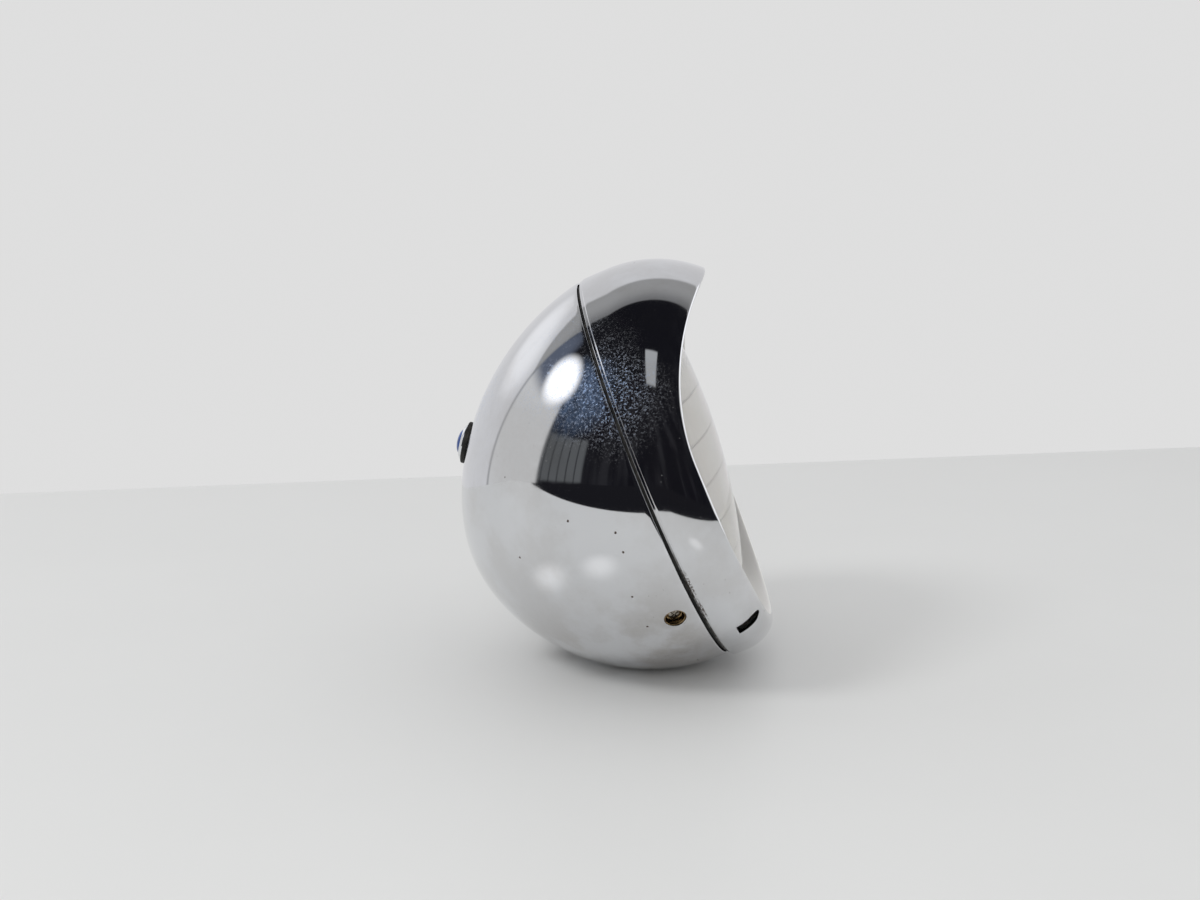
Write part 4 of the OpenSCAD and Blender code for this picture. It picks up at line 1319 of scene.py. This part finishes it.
@dataclass(frozen=True)
class Reflector:
    """Pressed dish, its flange and the collar that carries the bulb."""

    dish: float = 66.019
    outer: float = 72.519
    collar: float = 19.5
    collar_rim: float = 22.5
    collar_length: float = 9.0
    seal_back: float = 12.45
    sheet: float = 0.8

    @property
    def focal(self) -> float:
        """Focal length of the dish."""
        return self.dish / 3

    def place(self, radius: Any) -> Any:
        """Place of the dish's face: vertex + r^2 / 4f."""
        vertex = self.seal_back - self.dish ** 2 / (4 * self.focal)
        return vertex + radius * radius / (4 * self.focal)

    @property
    def collar_back(self) -> float:
        """Place of the collar's back, where the bulb's flange sits."""
        return self.place(self.collar) - self.collar_length

    def build(self, stance: Stance, material: bpy.types.Material) -> bpy.types.Object:
        """Turns the sheet's closed section: dish, flange, back of the dish and collar.

        Args:
            stance: the lamp's frames.
            material: its finish.

        Returns:
            The dressed piece.
        """
        r = np.linspace(self.collar, self.dish, 64)
        face = np.stack([self.place(r), r], -1)
        back_r = np.linspace(self.dish, self.collar + 1.3, 40)
        back = np.stack([self.place(back_r) - self.sheet * 1.3, back_r + 0.3], -1)
        flange = [[self.seal_back, self.outer], [self.seal_back - self.sheet, self.outer],
                  [self.seal_back - self.sheet, self.dish + 1.2]]
        low = self.collar_back
        collar = [[low + 1, self.collar + 1], [low + 1, self.collar_rim],
                  [low, self.collar_rim], [low, self.collar - 2], [low + 1, self.collar - 2],
                  [low + 1, self.collar]]
        line = np.vstack([face, flange, back, collar])
        return dress(turned("reflector_dish", line, stance.unit, 180), material, Slot.MIRROR,
                     "reflector")


@dataclass(frozen=True)
class Bulb:
    """Two-filament bulb: glass, base with its flange, and coils on posts."""

    radius: float = 8.5
    flange: float = 21.5
    seat: float = -41.745
    base: float = 11.0
    base_back: float = -51.945
    glass_back: float = -49.945
    glass_front: float = 14.27
    pinch: float = -43.945
    wall: float = 0.9
    high: float = -15.059
    low: float = -9.059
    coil: float = 0.8
    coil_turns: int = 11
    coil_wire: float = 0.2
    post_wire: float = 0.36

    def glass_line(self, radius: float, front: float, back: float) -> Array:
        """Outline of one face of the glass: a straight wall and an elliptic dome.

        Args:
            radius: the wall's radius.
            front: place of the dome's top.
            back: place where the wall ends.

        Returns:
            Points of (place, radius), from the axis round to it.
        """
        dome = 0.6 * self.radius - (self.glass_front - front)
        a = np.linspace(0, pi / 2, 18)
        return np.vstack([[back, 0.0], [back, radius], np.stack(
            [front - dome + dome * np.sin(a), radius * np.cos(a)], -1)])

    def filament(self, place: float, height: float, half: float, name: str, stance: Stance,
                 material: bpy.types.Material) -> list[bpy.types.Object]:
        """One close coil across the beam on two posts.

        The coil's middle line is (radius cos n t, across t, radius sin n t); the posts run
        straight back into the pinch.

        Args:
            place: place of the coil.
            height: height of the coil over the beam's axis.
            half: half the distance between the posts.
            name: what the pieces' names begin with.
            stance: the lamp's frames.
            material: their finish.

        Returns:
            The coil and its posts.
        """
        t = np.linspace(0.0, 1.0, 260)
        turns = 2 * pi * self.coil_turns
        path = np.stack([place + self.coil * 0.75 * np.cos(turns * t),
                         (2 * t - 1) * (half + 0.2),
                         height + self.coil * 0.75 * np.sin(turns * t)], -1)
        made = [dress(wire(name + "_coil", path, self.coil_wire, stance.unit), material,
                      Slot.STEEL, "bulb_filaments")]
        for side, hand in (("near", -1), ("far", 1)):
            run = np.linspace(self.pinch, place, 8)
            post = np.stack([run, hand * half + 0 * run, height + 0 * run], -1)
            made.append(dress(wire(f"{name}_post_{side}", post, self.post_wire, stance.unit),
                              material, Slot.STEEL, "bulb_filaments"))
        return made

    def build(self, stance: Stance, looks: Finishes) -> None:
        """Makes the bulb's pieces.

        Args:
            stance: the lamp's frames.
            looks: the finishes.
        """
        inner = self.glass_line(self.radius - self.wall, self.glass_front - self.wall,
                                self.pinch)
        outer = self.glass_line(self.radius, self.glass_front, self.glass_back)
        line = np.vstack([outer, inner[:-1][::-1][:-1], [[self.pinch, 0.0]]])
        line = np.delete(line, len(outer) - 1, 0)
        dress(turned("bulb_envelope", line, stance.unit, 64), looks.bulb, Slot.BULB,
              "bulb_glass")
        neck, lip = self.base + 1, self.seat + 5
        base = axis_outline([
            (self.glass_back, 0), (self.glass_back, self.base - 1), (lip, self.base - 1),
            (lip, neck), (self.seat, neck), (self.seat, self.flange),
            (self.seat - 1.2, self.flange), (self.seat - 1.2, self.base),
            (self.base_back, self.base), (self.base_back, 0)], 0.3)
        dress(turned("bulb_cap", base, stance.unit, 72), looks.zinc, Slot.ZINC, "bulb_base")
        self.filament(self.low + self.coil, 2.25 * self.coil, 4.25 * self.coil, "dip_filament",
                      stance, looks.tungsten)
        self.filament(self.high - 3 * self.coil, 0.0, 2.5 * self.coil, "main_filament",
                      stance, looks.tungsten)


# ---- Fixings ----

@dataclass(frozen=True)
class SideScrew:
    """Screw in its dished cup, sunk in the bowl's side."""

    back: float = 8.6
    down: float = 34.5
    floor: float = 78.04
    hole: float = 4.25
    hole_lip: float = 0.4
    cup: float = 4.15
    sheet: float = 0.5
    shank: float = 2.0
    head: float = 2.7
    head_height: float = 1.2
    shank_end: float = 6.4
    cross_long: float = 1.9
    cross_half: float = 0.38
    cross_deep: float = 0.9
    cross_turn: float = 20.0

    def matrix(self, stance: Stance, reach: float, hand: int) -> Array:
        """Frame of the screw, its Z out of the bowl."""
        return stance.side(-self.back, reach, self.down, hand)

    def build(self, stance: Stance, bowl: Bowl, hand: int, looks: Finishes) -> None:
        """Turns the cup and the domed head, and cuts the cross in it.

        Args:
            stance: the lamp's frames.
            bowl: the shell that it is sunk in.
            hand: 1 for the near side, -1 for the far side.
            looks: the finishes.
        """
        side = "near" if hand > 0 else "far"
        matrix = self.matrix(stance, self.floor, hand)
        depth = bowl.reach(-self.back, self.down) - self.floor
        inner = self.cup - self.sheet
        cup = closed_outline([
            (0, self.shank + 0.25), (0, self.cup - 0.4), (0.6, self.cup),
            (depth - 0.5, self.cup), (depth - 0.5, inner), (1.0, inner),
            (self.sheet, inner - 0.5), (self.sheet, self.shank + 0.25)], 0.25)
        dress(turned(f"screw_cup_{side}", cup, matrix @ BEAM_UP, 64), looks.bronze, Slot.BRASS,
              "rim_screw_cups")
        a = np.linspace(0.0, pi / 2, 10)
        low, high = self.sheet, self.sheet + self.head_height
        dome = np.stack([low + 0.5 + (high - low - 0.5) * np.sin(a), self.head * np.cos(a)], -1)
        line = np.vstack([[-self.shank_end, 0.0], [-self.shank_end, self.shank],
                          [low, self.shank], [low, self.head - 0.2], [low + 0.2, self.head],
                          dome])
        screw = turned(f"side_screw_{side}", line, matrix @ BEAM_UP, 64)
        x, y = self.cross_long, self.cross_half
        block = np.array([[(*corner, z) for z in (high - self.cross_deep, high + 1.0)]
                          for corner in ((-x, -y), (x, -y), (x, y), (-x, y))])
        ends = np.array([[0, 0, high - self.cross_deep - 0.2], [0, 0, high + 1.1]])
        bars = []
        for angle in (self.cross_turn, self.cross_turn + 90):
            stand = matrix @ turn("z", angle)
            bars.append(shape("cutter", placed(block, stand), loop_cols=False,
                              tips=placed(ends, stand)))
        cut_out(screw, bars)
        dress(screw, looks.screw, Slot.STEEL, "rim_screws")


@dataclass(frozen=True)
class BeamIndicator:
    """Blue jewel in a bright bezel on a thick rubber gasket, high on the tail."""

    back: float = 68.30
    housing: float = 5.6
    hole_gap: float = 0.25
    hole_lip: float = 0.1
    gasket: float = 8.8
    gasket_top: float = 1.7
    bezel: float = 7.5
    bezel_height: float = 1.5
    jewel: float = 5.5
    jewel_rise: float = 1.8
    falls: float = 0.45

    def matrix(self, stance: Stance, bowl: Bowl) -> Array:
        """Frame of the indicator, its Z out of the bowl."""
        slope = bowl.top(-self.back + 0.5) - bowl.top(-self.back - 0.5)
        return (stance.lamp @ shift(-self.back, 0, bowl.top(-self.back))
                @ turn("y", -degrees(atan(slope))))

    def build(self, stance: Stance, bowl: Bowl, looks: Finishes) -> None:
        """Turns the gasket, the bezel and the jewel.

        Args:
            stance: the lamp's frames.
            bowl: the shell that it stands on.
            looks: the finishes.
        """
        matrix = self.matrix(stance, bowl) @ BEAM_UP
        inner = self.housing + 0.15
        gasket = closed_outline([
            (-0.1, inner), (-self.falls, self.gasket), (self.gasket_top, self.gasket),
            (self.gasket_top, inner)], 0.7, 7)
        dress(turned("indicator_ring", gasket, matrix, 80), looks.rubber, Slot.RUBBER,
              "indicator_gasket")
        top = self.gasket_top + self.bezel_height
        bezel = closed_outline([
            (self.gasket_top - 0.3, self.jewel + 0.05), (self.gasket_top - 0.3, self.bezel),
            (self.gasket_top + 0.35, self.bezel), (top, self.jewel + 0.7),
            (top - 0.15, self.jewel + 0.05)], 0.3, 7)
        dress(turned("indicator_bezel_ring", bezel, matrix, 80), looks.trim, Slot.CHROME,
              "indicator_bezel")
        a = np.linspace(0.0, pi / 2, 16)
        low = self.gasket_top + 0.8
        dome = np.stack([low + (top + self.jewel_rise - low) * np.sin(a),
                         self.jewel * np.cos(a)], -1)
        stem = self.jewel - 0.6
        line = np.vstack([[self.gasket_top - 1, 0.0], [self.gasket_top - 1, stem],
                          [self.gasket_top, stem], [self.gasket_top, self.jewel], dome])
        dress(turned("indicator_jewel_dome", line, matrix, 64), looks.jewel, Slot.JEWEL,
              "indicator_jewel")


@dataclass(frozen=True)
class CableEntry:
    """Rubber grommet low on the tail."""

    back: float = 66.00
    bore: float = 4.0
    hole: float = 7.0
    hole_lip: float = 0.2
    lip: float = 8.8

    def matrix(self, stance: Stance, bowl: Bowl) -> Array:
        """Frame of the grommet, its Z out of the bowl."""
        slope = bowl.bottom(-self.back + 0.5) - bowl.bottom(-self.back - 0.5)
        return (stance.lamp @ shift(-self.back, 0, bowl.bottom(-self.back))
                @ turn("y", 180 - degrees(atan(slope))))

    def build(self, stance: Stance, bowl: Bowl, looks: Finishes) -> None:
        """Turns the grommet's section: two soft lips and a waist in the hole.

        Args:
            stance: the lamp's frames.
            bowl: the shell that holds it.
            looks: the finishes.
        """
        w = bowl.wall
        waist = self.hole - 0.15
        line = closed_outline([
            (-w - 2.8, self.bore), (-w - 2.4, self.lip - 0.8), (-w - 1.8, self.lip),
            (-w - 0.85, self.lip), (-w - 0.6, waist), (-0.1, waist), (-0.3, self.lip),
            (0.2, self.lip), (0.9, self.lip - 0.8), (1.3, self.bore)], 0.35)
        dress(turned("cable_grommet", line, self.matrix(stance, bowl) @ BEAM_UP, 72),
              looks.rubber, Slot.RUBBER, "wire_grommet")


# ---- Studio ----

@dataclass(frozen=True)
class Patch:
    """Soft oval of directions in the world, its places and sizes in degrees."""

    azimuth: float
    height: float
    wide: float
    high: float
    soft: float
    colour: Colour
    share: float = 1.0

    def mask(self, azimuth: Value, height: Value) -> Value:
        """Its share, from the middle out to nothing at its size times (1 + soft).

        Args:
            azimuth: the ray's azimuth.
            height: the ray's elevation.

        Returns:
            The mask.
        """
        across, over = (azimuth - self.azimuth) / self.wide, (height - self.height) / self.high
        oval = (across * across + over * over).rise((1 + self.soft) ** 2, (1 - self.soft) ** 2)
        return oval * self.share


@dataclass(frozen=True)
class Studio:
    """Pale table, pale backdrop, soft light and the camera.

    The table is in millimetres, the eye and the lamps in metres, spans and heights of the
    mirrored room in degrees. A lamp is its name, place, size and power.
    """

    # Places of the glowing spots painted on the table as highlights, seen only in reflections.
    painted_shines: tuple[Point, ...] = ((-90.0, -72.0, 0.0), (-56.0, -122.0, 0.0),
                                 (68.0, -182.0, 0.0))
    table_left: tuple[float, float] = (-436.8, 322.7)
    table_right: tuple[float, float] = (409.6, 568.0)
    table_front: float = -330.0
    table_colour: Colour = (0.74, 0.745, 0.742)
    backdrop: Colour = (0.735, 0.735, 0.735)
    reach: float = 1500.0
    table_grid: int = 40
    table_dark: Colour = (0.012, 0.012, 0.015)
    painted_shine_radius: float = 16.0
    painted_shine_share: float = 0.65
    dark: Colour = (0.008, 0.008, 0.011)
    streak: Colour = (0.024, 0.024, 0.028)
    panel: Colour = (0.115, 0.12, 0.125)
    skylight: Colour = (0.43, 0.44, 0.45)
    side_wall: Colour = (0.68, 0.68, 0.68)
    wall_low: Colour = (0.715, 0.715, 0.73)
    wall_middle: Colour = (0.36, 0.36, 0.36)
    wall_high: Colour = (0.205, 0.205, 0.21)
    corner_line: Colour = (0.3, 0.3, 0.3)
    right_screen: Colour = (1.3, 1.3, 1.34)
    glow: Patch = Patch(-137.0, 22.0, 12.0, 7.0, 0.9, (1.2, 1.2, 1.22), 0.6)
    haze: Patch = Patch(-66.0, 36.0, 15.0, 12.0, 0.9, (0.19, 0.29, 0.48), 0.5)
    dusk: Patch = Patch(-108.0, 33.0, 9.0, 14.0, 0.6, (0.12, 0.14, 0.19))
    softbox: Patch = Patch(-88.0, 35.0, 13.0, 8.5, 0.35, (1.6, 1.6, 1.62))
    light_below: Colour = (0.60, 0.60, 0.60)
    light_above: Colour = (0.79, 0.79, 0.79)
    lamp_colour: Colour = (1.0, 0.995, 0.985)
    corner: float = 115.0
    left_span: tuple[float, float] = (76.0, 114.0)
    right_span: tuple[float, float] = (67.0, 114.0)
    panel_span: tuple[float, float] = (48.0, 76.0)
    panel_high: tuple[float, float] = (-2.0, 17.0)
    screen_span: tuple[float, float] = (86.0, 142.0)
    screen_high: tuple[float, float] = (-1.0, 38.0)
    through: float = 0.95
    focal: float = 45.0
    sensor: float = 36.0
    near_clip: float = 0.01
    eye: Point = (0.02162, -0.6139, 0.1926)
    pitch: float = 80.4
    yaw: float = 3.9
    aim: Point = (0.0, 0.0, 0.06)
    lamps: tuple[tuple[str, Point, float, float], ...] = (
        ("soft_lamp", (-1.75, -1.4, 2.2), 0.9, 22.0),
        ("front_lamp", (-0.15, -1.5, 0.7), 0.8, 3.0))

    def table(self) -> None:
        """Flat table whose far edge runs along the backdrop.

        Beyond its front edge, which no view shows, mirrored rays find a dark room. They alone
        find the round glowing spots painted on it as highlights of ceiling lights.
        """
        (x0, y0), (x1, y1) = self.table_left, self.table_right
        slope = (y1 - y0) / (x1 - x0)
        count = self.table_grid
        u = np.linspace(-self.reach, self.reach, count)[:, None]
        far = y0 + slope * (u - x0)
        v = np.linspace(0.0, 1.0, count)[None]
        y = mix(-self.reach + 0 * u, far, v)
        grid = np.stack([u + 0 * v, y, 0 * y], -1).reshape(-1, 3)
        mesh = bpy.data.meshes.new("table")
        mesh.from_pydata((grid * METRE).tolist(), [],
                         grid_faces(count, count, False, False).tolist())
        table = bpy.data.objects.new("table", mesh)
        bpy.context.scene.collection.objects.link(table)
        material, nodes, where = start_material("table_top")
        _, y_part, _ = nodes.parts(where)
        rays = nodes.add("ShaderNodeLightPath")
        mirrored = nodes.value(rays, "Is Glossy Ray")
        soft = nodes.noise(where, 9.0, 4.0)
        shader = nodes.add("ShaderNodeBsdfPrincipled", sockets={
            "Base Color": nodes.tint(soft, self.table_colour,
                                     tuple(0.97 * c for c in self.table_colour)),
            "Roughness": 0.5, "Specular IOR Level": 0.3})
        dark = nodes.add("ShaderNodeEmission", sockets={"Color": self.table_dark})
        edge = self.table_front * METRE
        both = nodes.add("ShaderNodeMixShader", sockets={
            0: mirrored * y_part.rise(edge, edge - 0.006),
            1: shader.outputs[0], 2: dark.outputs[0]})
        # Painted highlights: white glowing spots on the table, seen only by mirrored rays.
        shine = nodes.add("ShaderNodeEmission", sockets={"Color": (1.0, 1.0, 1.0)})
        both = nodes.add("ShaderNodeMixShader", sockets={
            0: (mirrored * nodes.near_any(where, self.painted_shines, self.painted_shine_radius, 0.8)
                * self.painted_shine_share),
            1: both.outputs[0], 2: shine.outputs[0]})
        nodes.add("ShaderNodeOutputMaterial", sockets={0: both.outputs[0]})
        mesh.materials.append(material)

    def wall(self, nodes: Nodes, towards: Value, azimuth: Value,
             height: Value) -> tuple[Value, Value]:
        """Pale wall behind the lamp, darker towards its top, with a corner line and a glow.

        Args:
            nodes: the world's nodes.
            towards: the ray's direction.
            azimuth: its azimuth.
            height: its elevation.

        Returns:
            Where the wall stands, and its colour.
        """
        _, y, z = nodes.parts(towards)
        apart, climb = abs(azimuth), z / y.most(0.02)
        stands = apart.rise(113.0, 115.5) * climb.rise(2.95, 2.75)
        paint = nodes.tint(climb.rise(1.10, 1.22), self.wall_low, self.wall_middle)
        paint = nodes.tint(climb.rise(1.5, 2.8), paint, self.wall_high)
        line = abs(apart - self.corner).rise(1.5, 0.0)
        paint = nodes.tint(line * 0.5, paint, self.corner_line)
        return stands, nodes.tint(self.glow.mask(azimuth, height), paint, self.glow.colour)

    def dark_side(self, nodes: Nodes, towards: Value, azimuth: Value, height: Value) -> Value:
        """Dark room ahead of the lamp: upright streaks, plain panels, haze and a skylight.

        Args:
            nodes: the world's nodes.
            towards: the ray's direction.
            azimuth: its azimuth.
            height: its elevation.

        Returns:
            The room's colour.
        """
        x, y, z = nodes.parts(towards)
        upright = nodes.add("ShaderNodeMapping", sockets={"Vector": towards,
                                                          "Scale": (9.0, 9.0, 1.2)})
        streaks = nodes.noise(nodes.value(upright), 0.9, 2.0, 0.5).rise(0.42, 0.7)
        murk = nodes.tint(streaks * height.rise(80.0, 10.0), self.dark, self.streak)
        panels = (-azimuth).inside(*self.panel_span, 1.5) * height.inside(*self.panel_high, 1.0)
        joints = (azimuth * 0.19).math("FRACT", azimuth * 0.19).inside(0.08, 0.92, 0.05)
        murk = nodes.tint(panels * (0.35 + 0.65 * joints), murk, self.panel)
        grain = nodes.noise(towards, 26.0, 5.0, 0.75).rise(0.4, 0.62)
        murk = nodes.tint(self.haze.mask(azimuth, height) * (0.25 + 0.75 * grain), murk,
                          self.haze.colour)
        murk = nodes.tint(self.dusk.mask(azimuth, height), murk, self.dusk.colour)
        over = z.most(0.05)
        sky = (x / over).inside(0.0, 0.24, 0.012) * (-y / over).inside(0.27, 0.70, 0.015)
        return nodes.tint(sky, murk, self.skylight)

    def room(self) -> None:
        """World: an even pale light, and for mirrored rays a pale wall and a dark room.

        Directions are told by azimuth from the front and elevation, in degrees.
        """
        world = bpy.data.worlds.new("studio")
        world.use_nodes = True
        bpy.context.scene.world = world
        nodes = Nodes(world.node_tree)
        towards = nodes.value(nodes.add("ShaderNodeTexCoord"), "Generated")
        x, y, z = nodes.parts(towards)
        azimuth = x.math("ARCTAN2", x, -y) * (180 / pi)
        height = z.math("ARCSINE", z) * (180 / pi)

        left = (-azimuth).inside(*self.left_span, 1.2) * height.rise(31.0, 24.0)
        right = azimuth.inside(*self.right_span, 0.8) * (z / x.most(0.02)).rise(0.95, 0.75)
        seen = nodes.tint(left.most(right), self.dark_side(nodes, towards, azimuth, height),
                          self.side_wall)
        stands, paint = self.wall(nodes, towards, azimuth, height)
        seen = nodes.tint(stands, seen, paint)
        seen = nodes.tint(self.softbox.mask(azimuth, height), seen, self.softbox.colour)
        screen = azimuth.inside(*self.screen_span, 3.0) * height.inside(*self.screen_high, 3.0)
        seen = nodes.tint(screen, seen, self.right_screen)

        rays = nodes.add("ShaderNodeLightPath")
        even = nodes.tint(z.rise(-0.02, 0.02), self.light_below, self.light_above)
        plain = nodes.tint(nodes.value(rays, "Is Camera Ray"), even, self.backdrop)
        colour = nodes.tint(nodes.value(rays, "Is Glossy Ray"), plain, seen)
        through = nodes.value(rays, "Is Transmission Ray") * self.through
        colour = nodes.tint(through, colour, self.backdrop)
        background = nodes.add("ShaderNodeBackground", sockets={"Color": colour})
        nodes.add("ShaderNodeOutputWorld", sockets={0: background.outputs[0]})

    def light(self) -> None:
        """Soft lamps up on the left and low in front, which chrome doesn't mirror."""
        for name, place, size, energy in self.lamps:
            lamp = bpy.data.lights.new(name, "AREA")
            lamp.shape, lamp.size, lamp.energy = "DISK", size, energy
            lamp.color = self.lamp_colour
            held = bpy.data.objects.new(name, lamp)
            held.location = place
            aim = np.array(self.aim) - np.array(place)
            held.rotation_euler = (0.0, float(np.arccos(-aim[2] / np.linalg.norm(aim))),
                                   float(np.arctan2(-aim[1], -aim[0])))
            held.visible_glossy = False
            bpy.context.scene.collection.objects.link(held)

    def camera(self) -> None:
        """Camera at the photograph's place and angle."""
        lens = bpy.data.cameras.new("camera")
        lens.lens, lens.sensor_width, lens.clip_start = self.focal, self.sensor, self.near_clip
        eye = bpy.data.objects.new("camera", lens)
        eye.location = self.eye
        eye.rotation_euler = (radians(self.pitch), 0.0, radians(self.yaw))
        bpy.context.scene.collection.objects.link(eye)
        bpy.context.scene.camera = eye

    def build(self) -> None:
        """Sets up everything round the lamp."""
        bpy.context.scene.view_settings.view_transform = "Standard"
        self.camera()
        self.table()
        self.room()
        self.light()


def finish_solids(looks: Finishes) -> None:
    """Gives every solid the material of its slot.

    Args:
        looks: the finishes.
    """
    slots = {part["node"]: Slot(part["material_slot"])
             for part in frame["record"]["subparts"]}
    for name, solid in frame["nodes"].items():
        material = looks.of_slot(slots[name])
        for place in solid.material_slots:
            place.material = material
        if not solid.material_slots:
            solid.data.materials.append(material)


def main() -> None:
    """Builds the studio, then the lamp from the outside in."""
    logging.basicConfig(level=logging.INFO, format="%(name)s %(message)s")
    Studio().build()
    looks = make_finishes()
    finish_solids(looks)
    stance, bowl, screw = Stance(), Bowl(), SideScrew()
    indicator, entry = BeamIndicator(), CableEntry()
    reach = bowl.reach(-screw.back, screw.down)
    holes = [punch(screw.hole, screw.hole_lip, screw.matrix(stance, reach, hand))
             for hand in (1, -1)]
    holes.append(punch(entry.hole, entry.hole_lip, entry.matrix(stance, bowl)))
    holes.append(punch(indicator.housing + indicator.hole_gap, indicator.hole_lip,
                       indicator.matrix(stance, bowl)))
    holes.append(punch(bowl.bolt_hole, bowl.bolt_lip, turn("x", 180)))
    bowl.build(stance, holes, looks.shell)
    HoodedRim().build(stance, looks.shell)
    SeamSeal().build(stance, bowl, looks.rubber)
    Lens().build(stance, looks.lens)
    Reflector().build(stance, looks.mirror)
    Bulb().build(stance, looks)
    for hand in (1, -1):
        screw.build(stance, bowl, hand, looks)
    indicator.build(stance, bowl, looks)
    entry.build(stance, bowl, looks)


if __name__ == "__main__":
    main()
